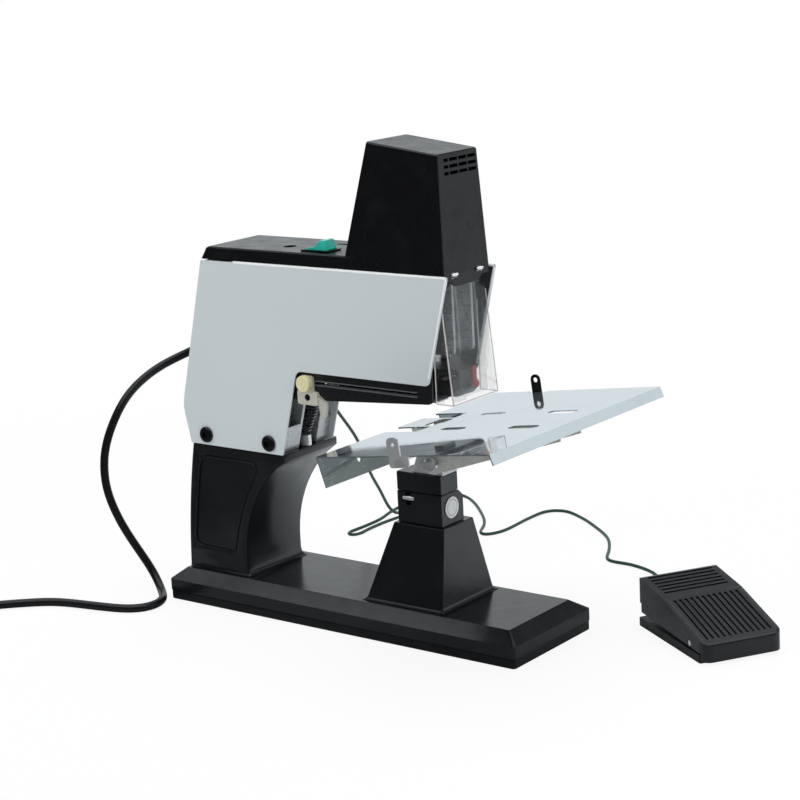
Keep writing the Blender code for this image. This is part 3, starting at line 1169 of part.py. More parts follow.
def make_frame():
    """Two steel plates that carry everything above the column, each with its outward wing, and their spacers."""
    foot = PANEL_FOOT_Z
    low = foot
    high = FRAME_TOP_Z
    corners = [(rear_x(low) + FRAME_REAR_IN, low, 0), (throat_x(low) - FRAME_FRONT_SETBACK, low, 0),
               (throat_x(FRAME_UNDER_Z) - FRAME_FRONT_SETBACK, FRAME_UNDER_Z, FRAME_REAR_IN / 2),
               (FRAME_HEAD_X, FRAME_UNDER_Z, FRAME_REAR_IN / 2), (FRAME_HEAD_X, high, FRAME_REAR_IN / 2),
               (rear_x(high) + FRAME_REAR_IN, high, FRAME_REAR_IN / 2),
               (PANEL_BULGE_X + FRAME_REAR_IN, foot + PANEL_BULGE_RISE, FRAME_REAR_IN)]
    outline = rounded(corners, 3)
    near_face = FRAME_CENTRE_Y - FRAME_INNER / 2
    far_face = FRAME_CENTRE_Y + FRAME_INNER / 2
    pin = circle(ARM_PIVOT_X, ARM_PIVOT_Z, ARM_PIN_RADIUS + GAP, 16)
    sheet = FRAME_SHEET
    spots = [(rear_x(low) + 3 * FRAME_REAR_IN, low + SCREW_RISE), (THROAT_X - 3 * FRAME_REAR_IN, high - FRAME_REAR_IN),
             (rear_x(high) + 3 * FRAME_REAR_IN, high - FRAME_REAR_IN),
             (TOWER_REAR_X, FRAME_UNDER_Z + FRAME_REAR_IN), (TOWER_REAR_X, high - FRAME_REAR_IN)]
    spacers = [((x, near_face - GAP, z), SPACER_RADIUS, FRAME_INNER) for x, z in spots]
    for name, low_y, high_y, wing_low, wing_high in (
            ("near_frame_plate", near_face - sheet, near_face, BODY_NEAR_Y + PANEL_SHEET + GAP,
             near_face - GAP), ("far_frame_plate", far_face, far_face + sheet, far_face + GAP, BODY_FAR_Y - PANEL_SHEET - GAP)):
        plate = prism(name, outline, "Y", low_y, high_y, "grey_steel")
        setback = FRAME_FRONT_SETBACK
        wing = [(throat_x(low) - setback - sheet, low), (throat_x(low) - setback, low),
                (throat_x(low + WING_RISE) - setback, low + WING_RISE),
                (throat_x(low + WING_RISE) - setback - sheet, low + WING_RISE)]
        fuse(plate, prism(name + "_wing", wing, "Y", wing_low, wing_high, None))
        if low_y < FRAME_CENTRE_Y:
            fuse(plate, rods("frame_spacers", spacers, (0, 1, 0), None))
        join_bosses(plate, name, wing_low, wing_high)
        cut(plate, prism(name + "_bore", pin, "Y", low_y - OVERRUN, high_y + OVERRUN, None))
    low_y = BODY_NEAR_Y + PANEL_SHEET + GAP
    rods("arm_pin", [((ARM_PIVOT_X, low_y, ARM_PIVOT_Z), ARM_PIN_RADIUS, BODY_FAR_Y - PANEL_SHEET - GAP - low_y)],
         (0, 1, 0), "bright_steel")


def tower_ring(low_share, inset, drop):
    """Ring of the tower at a share of its height: 0 its foot, 1 its sloping top."""
    rear = TOWER_REAR_X + (TOWER_TOP_REAR_X - TOWER_REAR_X) * low_share + inset
    front = TOWER_FRONT_X + (TOWER_TOP_FRONT_X - TOWER_FRONT_X) * low_share - inset
    half = TOWER_HALF_WIDTH + (TOWER_TOP_HALF_WIDTH - TOWER_HALF_WIDTH) * low_share - inset
    points = rectangle(rear, front, TOWER_CENTRE_Y - half, TOWER_CENTRE_Y + half, max(TOWER_CORNER - inset, GAP), 3)
    ring = []
    for a, b in points:
        share = (a - rear) / (front - rear)
        height = TOWER_REAR_HEIGHT + (TOWER_FRONT_HEIGHT - TOWER_REAR_HEIGHT) * share
        ring.append((a, b, HOOD_FOOT_Z + height * low_share - drop))
    return ring


def cover_ring(z, rear, inset):
    """Ring of the rear cover at one height."""
    points = rectangle(rear + inset, COVER_FRONT_X - inset, BODY_NEAR_Y + COVER_NEAR_IN + inset, BODY_FAR_Y - inset,
                       TOWER_CORNER / 2, 2)
    return [(a, b, z) for a, b in points]


def make_hood():
    """Hood moulding: cover and tower as one shell, with vents, hook slots, a hole, a slit and the apron."""
    wall = HOOD_WALL
    hood = loft("hood_shell", [cover_ring(HOOD_FOOT_Z, COVER_REAR_X, 0),
                               cover_ring(COVER_TOP_Z - COVER_EDGE, COVER_REAR_X + COVER_LEAN - COVER_EDGE, 0),
                               cover_ring(COVER_TOP_Z, COVER_REAR_X + COVER_LEAN, COVER_EDGE)], "black_plastic",
                smooth=30)
    tower = loft("tower_body", [tower_ring(0, 0, 0), tower_ring(1, 0, COVER_EDGE), tower_ring(1, COVER_EDGE, 0)], None)
    apron_low = HOOD_FOOT_Z - APRON_DROP
    end_low = HOOD_FOOT_Z - APRON_END_DROP
    middle = (APRON_NEAR_Y + APRON_FAR_Y) / 2
    quarter = (APRON_FAR_Y - APRON_NEAR_Y) / 4
    scallop = rounded([(APRON_NEAR_Y, HOOD_FOOT_Z + wall, 0), (APRON_NEAR_Y, end_low, 0),
                       (middle - APRON_STEP_SHARE * quarter, end_low, quarter / 4), (middle - quarter, apron_low, quarter / 4),
                       (middle + quarter, apron_low, quarter / 4), (middle + APRON_STEP_SHARE * quarter, end_low, quarter / 4),
                       (APRON_FAR_Y, end_low, 0), (APRON_FAR_Y, HOOD_FOOT_Z + wall, 0)], 3)
    apron = prism("hood_apron", scallop, "X", TOWER_FRONT_X - wall + GAP, TOWER_FRONT_X - GAP, None)
    fuse(hood, tower, apron)
    cavity = loft("cover_cavity", [cover_ring(HOOD_FOOT_Z - wall, COVER_REAR_X, wall),
                                   cover_ring(COVER_TOP_Z - wall, COVER_REAR_X + COVER_LEAN, wall)], None)
    inner = loft("tower_cavity", [tower_ring(0, wall, OVERRUN), tower_ring(1, wall, wall)], None)
    cut(hood, cavity, inner)
    cut(hood, *hood_openings())


def hood_openings():
    """Cutters for the hood: vents and hook slots through the front, hole, slit and switch through the cover."""
    front_low = TOWER_TOP_FRONT_X - 2 * HOOD_WALL
    front_high = TOWER_FRONT_X + OVERRUN
    top_z = HOOD_FOOT_Z + TOWER_FRONT_HEIGHT - VENT_DROP
    first_y = TOWER_CENTRE_Y - VENT_PITCH_Y * (VENT_COLUMNS - 1) / 2
    vents = []
    for row in range(VENT_ROWS):
        for column in range(VENT_COLUMNS):
            long = VENT_LONG if column else VENT_LONG * END_VENT_SHARE
            y = first_y + column * VENT_PITCH_Y + (VENT_LONG - long) / 2
            z = top_z - row * VENT_PITCH_Z
            vents.append((rectangle(y - long / 2, y + long / 2, z - VENT_TALL / 2, z + VENT_TALL / 2), "X",
                          front_low, front_high))
    slot_z = PANEL_TOP_Z - HOOK_SLOT_DROP
    hooks = []
    for y in (HOOK_NEAR_Y, HOOK_FAR_Y):
        hooks.append((rectangle(y - HOOK_SLOT_WIDE / 2, y + HOOK_SLOT_WIDE / 2, slot_z - HOOK_SLOT_TALL / 2,
                                slot_z + HOOK_SLOT_TALL / 2, HOOK_SLOT_TALL / 3), "X",
                      TOWER_FRONT_X - 2 * HOOD_WALL, front_high))
    low = COVER_TOP_Z - HOOD_WALL - OVERRUN / 2
    high = COVER_TOP_Z + OVERRUN / 2
    reach = SWITCH_LENGTH / 2 + SWITCH_PLAY + SWITCH_RIM / 2 + GAP
    side = SWITCH_WIDTH / 2 + SWITCH_PLAY / 2 + SWITCH_RIM / 2 + GAP
    top_cuts = [(circle(HOOD_HOLE_X, HOOD_HOLE_Y, HOOD_HOLE_RADIUS, 18), "Z", low, high),
                (rectangle(SLIT_X - SLIT_LENGTH / 2, SLIT_X + SLIT_LENGTH / 2, SLIT_Y - SLIT_WIDTH / 2,
                           SLIT_Y + SLIT_WIDTH / 2), "Z", low, high),
                (rectangle(SWITCH_X - reach, SWITCH_X + reach, SWITCH_Y - side, SWITCH_Y + side), "Z", low, high)]
    return (prisms("vent_cuts", vents, None), prisms("hook_slot_cuts", hooks, None),
            prisms("cover_cuts", top_cuts, None))


def make_switch():
    """Rocker switch: a rimmed cup set in the cover and the rocker that tips in it."""
    inner_x = SWITCH_LENGTH / 2 + SWITCH_PLAY
    inner_y = SWITCH_WIDTH / 2 + SWITCH_PLAY / 2
    wall = SWITCH_RIM / 2
    top = COVER_TOP_Z + GAP
    low = COVER_TOP_Z - SWITCH_DEPTH
    bezel = prism("switch_bezel", rectangle(SWITCH_X - inner_x - SWITCH_RIM, SWITCH_X + inner_x + SWITCH_RIM,
                                            SWITCH_Y - inner_y - SWITCH_RIM, SWITCH_Y + inner_y + SWITCH_RIM,
                                            SWITCH_RIM / 2), "Z", top, top + SWITCH_RIM_HEIGHT, "black_plastic")
    cup = prism("switch_cup", rectangle(SWITCH_X - inner_x - wall, SWITCH_X + inner_x + wall,
                                        SWITCH_Y - inner_y - wall, SWITCH_Y + inner_y + wall), "Z", low,
                top + SWITCH_RIM_HEIGHT / 2, None)
    fuse(bezel, cup)
    cut(bezel, prism("switch_well", rectangle(SWITCH_X - inner_x, SWITCH_X + inner_x, SWITCH_Y - inner_y,
                                              SWITCH_Y + inner_y), "Z", low + wall, top + OVERRUN, None))
    axis_z = COVER_TOP_Z - SWITCH_AXIS_DROP
    hinge = joint_empty("rocker_hinge", (SWITCH_X, SWITCH_Y, axis_z))
    face = [(SWITCH_X + SWITCH_LENGTH * share, COVER_TOP_Z + ROCKER_LOW + (ROCKER_PEAK - ROCKER_LOW) * height)
            for share, height in ROCKER_SHARES]
    corners = [(a, b, 0) for a, b in face]
    under = axis_z - ROCKER_BELOW
    reach = SWITCH_LENGTH / 2
    corners += [(SWITCH_X + reach * ROCKER_REACH_SHARE, under, 0), (SWITCH_X, under - ROCKER_LOW, 0),
                (SWITCH_X - reach * ROCKER_REACH_SHARE, under, 0)]
    half = SWITCH_WIDTH / 2
    rocker = prism("rocker", [corner[:2] for corner in corners], "Y", SWITCH_Y - half, SWITCH_Y + half, "green", hinge)
    pin = circle(SWITCH_X, axis_z, ROCKER_LOW, 12)
    bore = circle(SWITCH_X, axis_z, ROCKER_LOW + RUNNING, 12)
    outer = inner_y + wall / 2
    stub_low = prism("rocker_stubs", pin, "Y", SWITCH_Y - outer, SWITCH_Y + outer, None, hinge)
    fuse(rocker, stub_low)
    cut(bezel, prism("rocker_bores", bore, "Y", SWITCH_Y - outer - GAP, SWITCH_Y + outer + GAP, None))


def arm_edges():
    """Near and far outer faces of the arm's shell."""
    return BODY_NEAR_Y + PANEL_SHEET + ARM_PLAY, BODY_FAR_Y - PANEL_SHEET - ARM_PLAY


def arm_under(x):
    """Height of the arm's lower edge: a shallow knee between its rear and its nose."""
    if x < ARM_KNEE_X:
        share = (x - ARM_REAR_X) / (ARM_KNEE_X - ARM_REAR_X)
        return ARM_REAR_Z + (ARM_KNEE_Z - ARM_REAR_Z) * share
    share = (x - ARM_KNEE_X) / (ARM_FRONT_X - ARM_KNEE_X)
    return ARM_KNEE_Z + (ARM_FRONT_Z - ARM_KNEE_Z) * share


def make_arm():
    """Stapling arm: two cheeks on the pivot pin, the sole between them and the spring's seat."""
    hinge = joint_empty("arm_hinge", (ARM_PIVOT_X, 0, ARM_PIVOT_Z))
    near, far = arm_edges()
    sheet = ARM_SHEET
    corners = [(ARM_REAR_X, ARM_REAR_Z, ARM_CORNER), (ARM_KNEE_X, ARM_KNEE_Z, 5 * ARM_CORNER),
               (ARM_FRONT_X, ARM_FRONT_Z, ARM_CORNER), (ARM_FRONT_X, ARM_TOP_FRONT_Z, ARM_CORNER),
               (ARM_REAR_X, ARM_TOP_Z, ARM_CORNER),
               (ARM_PIVOT_X + ARM_LOBE, ARM_PIVOT_Z + ARM_LOBE, ARM_CORNER)]
    corners += [(ARM_PIVOT_X + ARM_LOBE * math.cos(turn), ARM_PIVOT_Z + ARM_LOBE * math.sin(turn), 0)
                for turn in [math.radians(angle) for angle in range(90, 271, 30)]]
    outline = rounded(corners, 3)
    arm = prism("arm_shell", outline, "Y", near, near + sheet, "black_plastic", hinge)
    other = prism("arm_far_cheek", outline, "Y", far - sheet, far, None, hinge)
    sole_points = [(x, arm_under(x) + GAP) for x in (ARM_REAR_X + ARM_CORNER, ARM_KNEE_X, ARM_FRONT_X - ARM_CORNER)]
    sole = bent_sheet(sole_points, -sheet)
    web = prism("arm_sole", sole, "Y", near + sheet / 2, far - sheet / 2, None, hinge)
    seat_half = FRAME_INNER / 2 - ARM_PLAY
    seat_z = arm_under(ARM_REAR_X) + SEAT_LIFT
    seat = prism("spring_seat", rectangle(SEAT_REAR_X, ARM_REAR_X + 2 * ARM_CORNER, FRAME_CENTRE_Y - seat_half,
                                          FRAME_CENTRE_Y + seat_half, ARM_CORNER / 2), "Z", seat_z,
                 seat_z + SEAT_THICK, None, hinge)
    fuse(arm, other, web, seat)
    bore = prism("arm_bore", circle(ARM_PIVOT_X, ARM_PIVOT_Z, ARM_PIN_RADIUS + RUNNING, 16), "Y", near - OVERRUN,
                 far + OVERRUN, None, hinge)
    rail = prism("rail_slot", rectangle(RAIL_REAR_X, RAIL_FRONT_X, RAIL_Z - RAIL_TALL / 2, RAIL_Z + RAIL_TALL / 2,
                                        RAIL_TALL / 2.2), "Y", near - OVERRUN, near + sheet + GAP, None, hinge)
    exit_hole = prism("staple_exit", rectangle(FOOT_X - FOOT_LENGTH / 2 - GAP, FOOT_X + FOOT_LENGTH / 2 + GAP,
                                               HEAD_Y - FOOT_WIDTH / 2 - GAP, HEAD_Y + FOOT_WIDTH / 2 + GAP), "Z",
                      arm_under(FOOT_X) - OVERRUN, arm_under(FOOT_X) + 2 * sheet, None, hinge)
    cut(arm, bore, rail, exit_hole)
    bar_y = near + sheet + GAP
    bar = prism("rail_bar", rectangle(RAIL_REAR_X, RAIL_FRONT_X + RAIL_TALL, RAIL_Z - RAIL_TALL, RAIL_Z + RAIL_TALL),
                "Y", bar_y, bar_y + RAIL_BAR, "dark_steel", hinge)
    guide = prism("rail_guide_slot", rectangle(RAIL_REAR_X + RAIL_BAR, RAIL_FRONT_X, RAIL_Z - KNOB_STUD_RADIUS - GAP,
                                               RAIL_Z + KNOB_STUD_RADIUS + GAP), "Y", bar_y - OVERRUN,
                  bar_y + OVERRUN, None, hinge)
    cut(bar, guide)
    return hinge


def make_magazine(hinge):
    """Staple magazine on the arm: channel, staples, pusher, the nose with its outlet, and the driver."""
    sheet = MAGAZINE_WALL
    nose_low = arm_under(ARM_FRONT_X - ARM_CORNER) + ARM_SHEET + 2 * GAP
    low = nose_low
    half = MAGAZINE_WIDTH / 2
    front = NOSE_REAR_X - GAP
    channel = [(HEAD_Y - half, low + MAGAZINE_HEIGHT), (HEAD_Y - half, low), (HEAD_Y + half, low),
               (HEAD_Y + half, low + MAGAZINE_HEIGHT)]
    prism("staple_magazine", bent_sheet(channel, -sheet), "X", MAGAZINE_REAR_X, front, "bright_steel", hinge)
    strip_low = low + sheet + GAP
    reach = STRIP_WIDTH / 2
    blade_rear = FOOT_X - BLADE_THICK / 2
    arch = [(HEAD_Y - reach, strip_low), (HEAD_Y - reach, strip_low + STRIP_HEIGHT),
            (HEAD_Y + reach, strip_low + STRIP_HEIGHT), (HEAD_Y + reach, strip_low)]
    strip_front = blade_rear - 2 * GAP
    prism("staple_strip", bent_sheet(arch, sheet), "X", strip_front - STRIP_LENGTH, strip_front, "grey_steel", hinge)
    pusher = joint_empty("pusher_slide", (strip_front - STRIP_LENGTH, HEAD_Y, strip_low))
    pusher_front = strip_front - STRIP_LENGTH - GAP
    prism("staple_pusher", rectangle(HEAD_Y - half + sheet + GAP, HEAD_Y + half - sheet - GAP, strip_low,
                                     strip_low + STRIP_HEIGHT + sheet), "X", pusher_front - PUSHER_LENGTH,
          pusher_front, "dark_steel", pusher)
    make_nose(hinge, nose_low, strip_low, blade_rear)
    make_driver(blade_rear)
    make_release_lever()


def make_nose(hinge, low, strip_low, blade_rear):
    """Nose block with the outlet under it, the driver's slot, the staples' tunnel and a cross pin."""
    chamfer = (NOSE_TOP_Z - low) * NOSE_CHAMFER_SHARE
    side = [(NOSE_REAR_X, low), (NOSE_FRONT_X - chamfer, low), (NOSE_FRONT_X, low + chamfer),
            (NOSE_FRONT_X, NOSE_TOP_Z), (NOSE_REAR_X, NOSE_TOP_Z)]
    nose = prism("magazine_nose", side, "Y", NOSE_NEAR_Y, NOSE_FAR_Y, "dark_steel", hinge)
    outlet = prism("nose_outlet", rectangle(FOOT_X - FOOT_LENGTH / 2, FOOT_X + FOOT_LENGTH / 2,
                                            HEAD_Y - FOOT_WIDTH / 2, HEAD_Y + FOOT_WIDTH / 2), "Z", FOOT_LOW_Z,
                   low + NOSE_CHAMFER_SHARE * FOOT_LENGTH, None, hinge)
    fuse(nose, outlet)
    width = BLADE_WIDTH / 2 + RUNNING
    slot = prism("driver_slot", rectangle(blade_rear - RUNNING, blade_rear + BLADE_THICK + RUNNING, HEAD_Y - width,
                                          HEAD_Y + width), "Z", FOOT_LOW_Z - OVERRUN, NOSE_TOP_Z + OVERRUN, None,
                 hinge)
    reach = STRIP_WIDTH / 2 + GAP
    tunnel = prism("staple_tunnel", rectangle(HEAD_Y - reach, HEAD_Y + reach, strip_low - GAP,
                                              strip_low + STRIP_HEIGHT + GAP), "X", NOSE_REAR_X - OVERRUN,
                   blade_rear + GAP / 3, None, hinge)
    bar_x = NOSE_FRONT_X - 2 * SILVER_BAR_RADIUS
    inner = NOSE_NEAR_Y + OVERRUN
    bore = prism("nose_pin_bore", circle(bar_x, SILVER_BAR_Z, SILVER_BAR_RADIUS + RUNNING, 12), "Y",
                 NOSE_NEAR_Y - OVERRUN, inner + GAP, None, hinge)
    cut(nose, slot, tunnel, bore)
    rods("nose_pin", [((bar_x, SILVER_BAR_NEAR_Y, SILVER_BAR_Z), SILVER_BAR_RADIUS, inner - SILVER_BAR_NEAR_Y)],
         (0, 1, 0), "bright_steel", hinge, 12)


def make_driver(blade_rear):
    """Driver: flat blade in the nose's slot with the round head that the solenoid's rod strikes."""
    slide = joint_empty("driver_slide", (FOOT_X, HEAD_Y, BLADE_LOW_Z))
    half = BLADE_WIDTH / 2
    blade = prism("driver_blade", rectangle(blade_rear, blade_rear + BLADE_THICK, HEAD_Y - half, HEAD_Y + half), "Z",
                  BLADE_LOW_Z, BLADE_TOP_Z - BLADE_HEAD / 2, "bright_steel", slide)
    head = turned("driver_head", [(BLADE_HEAD_RADIUS, -BLADE_HEAD), (BLADE_HEAD_RADIUS, 0)], (0, 0, 1),
                  (FOOT_X, HEAD_Y, BLADE_TOP_Z), None, slide, segments=16)
    fuse(blade, head)


def make_release_lever():
    """Release lever on the nose's face: a flat stem with a round red knob."""
    slide = joint_empty("release_slide", (NOSE_FRONT_X, LEVER_Y, LEVER_LOW_Z))
    face = NOSE_FRONT_X + GAP
    half = LEVER_WIDTH / 2
    lever = prism("release_lever", rectangle(LEVER_Y - half, LEVER_Y + half, LEVER_LOW_Z - half, LEVER_TOP_Z, half / 2),
                  "X", face, face + LEVER_SHEET, "red", slide)
    wide, middle, narrow, long = LEVER_SHARES
    profile = [(half, LEVER_SHEET / 2), (LEVER_KNOB_RADIUS * wide, LEVER_SHEET),
               (LEVER_KNOB_RADIUS, LEVER_SHEET * middle), (LEVER_KNOB_RADIUS * narrow, LEVER_SHEET * long)]
    fuse(lever, turned("release_knob", profile, (1, 0, 0), (face, LEVER_Y, LEVER_LOW_Z), None, slide, segments=18))


def make_return_spring():
    """Return spring: a leaning coil between its bush on the column and the seat under the arm."""
    foot = PANEL_FOOT_Z
    rods("spring_bush", [((SPRING_X, SPRING_Y, foot), BUSH_RADIUS, BUSH_HEIGHT)], (0, 0, 1), "bright_steel")
    seat_z = arm_under(ARM_REAR_X) + SEAT_LIFT
    lean = (SPRING_END_X - SPRING_X) / (seat_z - foot - BUSH_HEIGHT)
    low = foot + BUSH_HEIGHT + GAP + SPRING_WIRE / 2 + SPRING_LOW_RADIUS * lean
    high = seat_z - GAP - SPRING_WIRE / 2 - SPRING_HIGH_RADIUS * lean
    spring("return_spring", (SPRING_X, SPRING_Y, low), (SPRING_END_X, SPRING_Y, high),
           (SPRING_LOW_RADIUS, SPRING_HIGH_RADIUS), SPRING_WIRE, SPRING_TURNS, "dark_steel")


def make_depth_stop():
    """Depth stop: a plate clamped on the arm's rail by a round knob, with the paper finger at its front."""
    slide = joint_empty("depth_slide", (STOP_X, BODY_NEAR_Y, RAIL_Z))
    near, _ = arm_edges()
    face = near - GAP
    outer = face - STOP_PLATE
    half = STOP_WIDTH / 2
    neck = KNOB_RADIUS * NECK_SHARE
    shoulder = RAIL_Z - KNOB_RADIUS
    outline = rounded([(STOP_X - half, STOP_LOW_Z, ARM_CORNER / 2), (STOP_X + half, STOP_LOW_Z, ARM_CORNER / 2),
                       (STOP_X + half, shoulder, ARM_CORNER / 4), (STOP_X + neck, shoulder, ARM_CORNER / 4),
                       (STOP_X + neck, RAIL_Z + neck, ARM_CORNER / 2), (STOP_X - neck, RAIL_Z + neck, ARM_CORNER / 2),
                       (STOP_X - neck, shoulder, ARM_CORNER / 4), (STOP_X - half, shoulder, ARM_CORNER / 4)], 2)
    plate = prism("depth_stop", outline, "Y", outer, face, "grey_steel", slide)
    bar_inner = near + ARM_SHEET + GAP + RAIL_BAR + GAP
    eye = prism("stop_eye", circle(STOP_X, RAIL_Z - KNOB_RADIUS - STOP_HOLE_DROP / 2, STOP_HOLE_RADIUS, 14), "Y",
                outer - OVERRUN, face + OVERRUN, None, slide)
    cut(plate, eye)
    nut_radius = RAIL_TALL * STUD_NUT_SHARE
    stud = [(KNOB_STUD_RADIUS, KNOB_BORE), (KNOB_STUD_RADIUS, outer - bar_inner), (nut_radius, outer - bar_inner),
            (nut_radius, outer - bar_inner - ARM_SHEET)]
    fuse(plate, turned("depth_stud", stud, (0, -1, 0), (STOP_X, outer, RAIL_Z), None, slide))
    tip_x = STOP_X + half + GAP
    tip = [(tip_x + FINGER_LENGTH * share, FINGER_LOW_Z, GAP) for share in FINGER_TIP_SHARES]
    finger = rounded([(tip_x, shoulder, 0), (tip_x, STOP_LOW_Z, 0), *tip, (tip_x + FINGER_LENGTH, STOP_LOW_Z, GAP),
                      (tip_x + FINGER_LENGTH, shoulder, ARM_CORNER / 2)], 2)
    prism("stop_finger", finger, "Y", outer, face, "beige", slide)
    turn = joint_empty("depth_knob_turn", (STOP_X, outer, RAIL_Z))
    profile = [(KNOB_RADIUS * radius, KNOB_HEIGHT * height + GAP) for radius, height in KNOB_DOME_SHARES]
    bore = KNOB_STUD_RADIUS + RUNNING
    hollow = [(bore, GAP), (bore, KNOB_BORE + GAP), (0, KNOB_BORE + GAP)]
    turned("depth_knob", profile + hollow, (0, -1, 0), (STOP_X, outer, RAIL_Z), "beige", turn,
           segments=24)


def guard_x(z):
    """Outer line of the guard's front sheet at one height."""
    top = PANEL_TOP_Z - GAP
    return GUARD_TOP_X + (GUARD_LOW_X - GUARD_TOP_X) * (top - z) / (top - GUARD_LOW_Z)


def make_guard():
    """Clear guard: front sheet, two wings and two hooked tongues in the hood's slots."""
    axis_z = PANEL_TOP_Z - HOOK_SLOT_DROP
    hinge = joint_empty("guard_hinge", (GUARD_AXIS_X, 0, axis_z))
    sheet = GUARD_SHEET
    top = PANEL_TOP_Z - GAP
    line = [(guard_x(GUARD_LOW_Z), GUARD_LOW_Z), (guard_x(top), top)]
    guard = prism("guard", bent_sheet(line, -sheet), "Y", GUARD_NEAR_Y, GUARD_FAR_Y, "clear", hinge)
    wing_top = GUARD_WING_TOP_Z
    middle = sheet / 2
    wing = [(GUARD_REAR_X, GUARD_LOW_Z + middle), (guard_x(GUARD_LOW_Z) - middle, GUARD_LOW_Z + middle),
            (guard_x(wing_top) - middle, wing_top), (GUARD_REAR_X, wing_top - 2 * sheet)]
    near = prism("guard_near_wing", wing, "Y", GUARD_NEAR_Y, GUARD_NEAR_Y + sheet, None, hinge)
    far = prism("guard_far_wing", wing, "Y", GUARD_FAR_Y - sheet, GUARD_FAR_Y, None, hinge)
    fuse(guard, near, far)
    tip = TOWER_FRONT_X + GUARD_TONGUE_OUT
    hook = bent_sheet([(guard_x(top) - middle, axis_z + middle), (tip, axis_z + middle),
                       (tip, axis_z - 2 * sheet)], sheet)
    half = HOOK_SLOT_WIDE / 2 - 2 * GAP
    for label, y in (("near", HOOK_NEAR_Y), ("far", HOOK_FAR_Y)):
        fuse(guard, prism("guard_hook_" + label, hook, "Y", y - half, y + half, None, hinge))


def make_solenoid():
    """Driving solenoid in the tower: yoke on the frame plates, winding, and the core with its rod."""
    low = FRAME_TOP_Z + GAP
    high = low + YOKE_HEIGHT
    half = YOKE_LENGTH / 2
    side = YOKE_WIDTH / 2
    yoke = prism("solenoid_yoke", rectangle(SOLENOID_X - half, SOLENOID_X + half, low, high), "Y", HEAD_Y - side,
                 HEAD_Y + side, "grey_steel")
    window = rectangle(SOLENOID_X - half + YOKE_SHEET, SOLENOID_X + half - YOKE_SHEET, low + YOKE_SHEET,
                       high - YOKE_SHEET)
    cut(yoke, prism("yoke_window", window, "Y", HEAD_Y - side - OVERRUN, HEAD_Y + side + OVERRUN, None),
        prism("yoke_bore", circle(SOLENOID_X, HEAD_Y, COIL_BORE, 20), "Z", high - YOKE_SHEET - OVERRUN,
              high + OVERRUN, None),
        prism("rod_bore", circle(SOLENOID_X, HEAD_Y, ROD_RADIUS + GAP, 16), "Z", low - OVERRUN,
              low + YOKE_SHEET + OVERRUN, None))
    inside_low = low + YOKE_SHEET + GAP
    inside_high = high - YOKE_SHEET - GAP
    flange = YOKE_SHEET / 2
    radius = COIL_RADIUS - YOKE_SHEET / 2
    profile = [(COIL_BORE, inside_low), (COIL_RADIUS, inside_low), (COIL_RADIUS, inside_low + flange),
               (radius, inside_low + flange), (radius, inside_high - flange), (COIL_RADIUS, inside_high - flange),
               (COIL_RADIUS, inside_high), (COIL_BORE, inside_high)]
    turned("solenoid_coil", profile, (0, 0, 1), (SOLENOID_X, HEAD_Y, 0), "copper", segments=24, ring=True)
    slide = joint_empty("plunger_slide", (SOLENOID_X, HEAD_Y, low + CORE_RISE))
    core_low = low + CORE_RISE
    core_high = core_low + CORE_LENGTH
    rod_low = BLADE_TOP_Z + 3 * ARM_SHEET / 2
    profile = [(ROD_RADIUS, rod_low), (ROD_RADIUS, core_low), (CORE_RADIUS, core_low), (CORE_RADIUS, core_high)]
    turned("plunger", profile, (0, 0, 1), (SOLENOID_X, HEAD_Y, 0), "bright_steel", slide, segments=20)


def make_control_board():
    """Control board standing beside the far frame plate, with its relay, capacitors and terminal block."""
    near = FRAME_CENTRE_Y + FRAME_INNER / 2 + FRAME_SHEET + BOARD_STANDOFF
    far = near + BOARD_SHEET
    front = BOARD_REAR_X + BOARD_LENGTH
    high = BOARD_LOW_Z + BOARD_HEIGHT
    board = prism("control_board", rectangle(BOARD_REAR_X, front, BOARD_LOW_Z, high, BOARD_SHEET), "Y", near, far,
                  "board")
    margin = 2 * BOARD_STANDOFF
    spots = [(x, z) for x in (BOARD_REAR_X + margin, front - margin) for z in (BOARD_LOW_Z + margin, high - margin)]
    fuse(board, rods("board_standoffs", [((x, near - BOARD_STANDOFF + GAP, z), BOARD_STANDOFF, BOARD_STANDOFF)
                                         for x, z in spots], (0, 1, 0), None, segments=12))
    relay_rear = BOARD_REAR_X + 2 * margin
    relay_low = BOARD_LOW_Z + 2 * margin
    face = far - GAP
    relay = rectangle(relay_rear, relay_rear + RELAY_LENGTH, relay_low, relay_low + RELAY_HEIGHT)
    terminals = rectangle(relay_rear, relay_rear + RELAY_LENGTH, high - margin - RELAY_HEIGHT / 2, high - margin)
    fuse(board, prisms("board_blocks", [(relay, "Y", face, face + RELAY_THICK),
                                        (terminals, "Y", face, face + RELAY_THICK / 2)], None))
    start = front - 2 * margin - CAPACITOR_LENGTH
    row = [((start, far + CAPACITOR_RADIUS * CAPACITOR_SINK_SHARE, z), CAPACITOR_RADIUS, CAPACITOR_LENGTH)
           for z in (relay_low, relay_low + 3 * CAPACITOR_RADIUS)]
    fuse(board, rods("board_capacitors", row, (1, 0, 0), None, segments=16))


def treadle_top(u):
    """Outer height of the treadle along its length: gentle to the crest, then the ramp."""
    half = PEDAL_LENGTH / 2
    if u < PEDAL_CREST:
        share = (u + half) / (PEDAL_CREST + half)
        return PEDAL_REAR_HEIGHT + (PEDAL_CREST_HEIGHT - PEDAL_REAR_HEIGHT) * share
    share = (u - PEDAL_CREST) / (half - PEDAL_CREST)
    return PEDAL_CREST_HEIGHT + (PEDAL_FRONT_HEIGHT - PEDAL_CREST_HEIGHT) * share


def pedal_place(u, v, z):
    """World point of a place in the pedal's own frame."""
    turn = Matrix.Rotation(PEDAL_YAW, 3, "Z")
    return Vector((PEDAL_X, PEDAL_Y, 0)) + turn @ Vector((u, v, z))


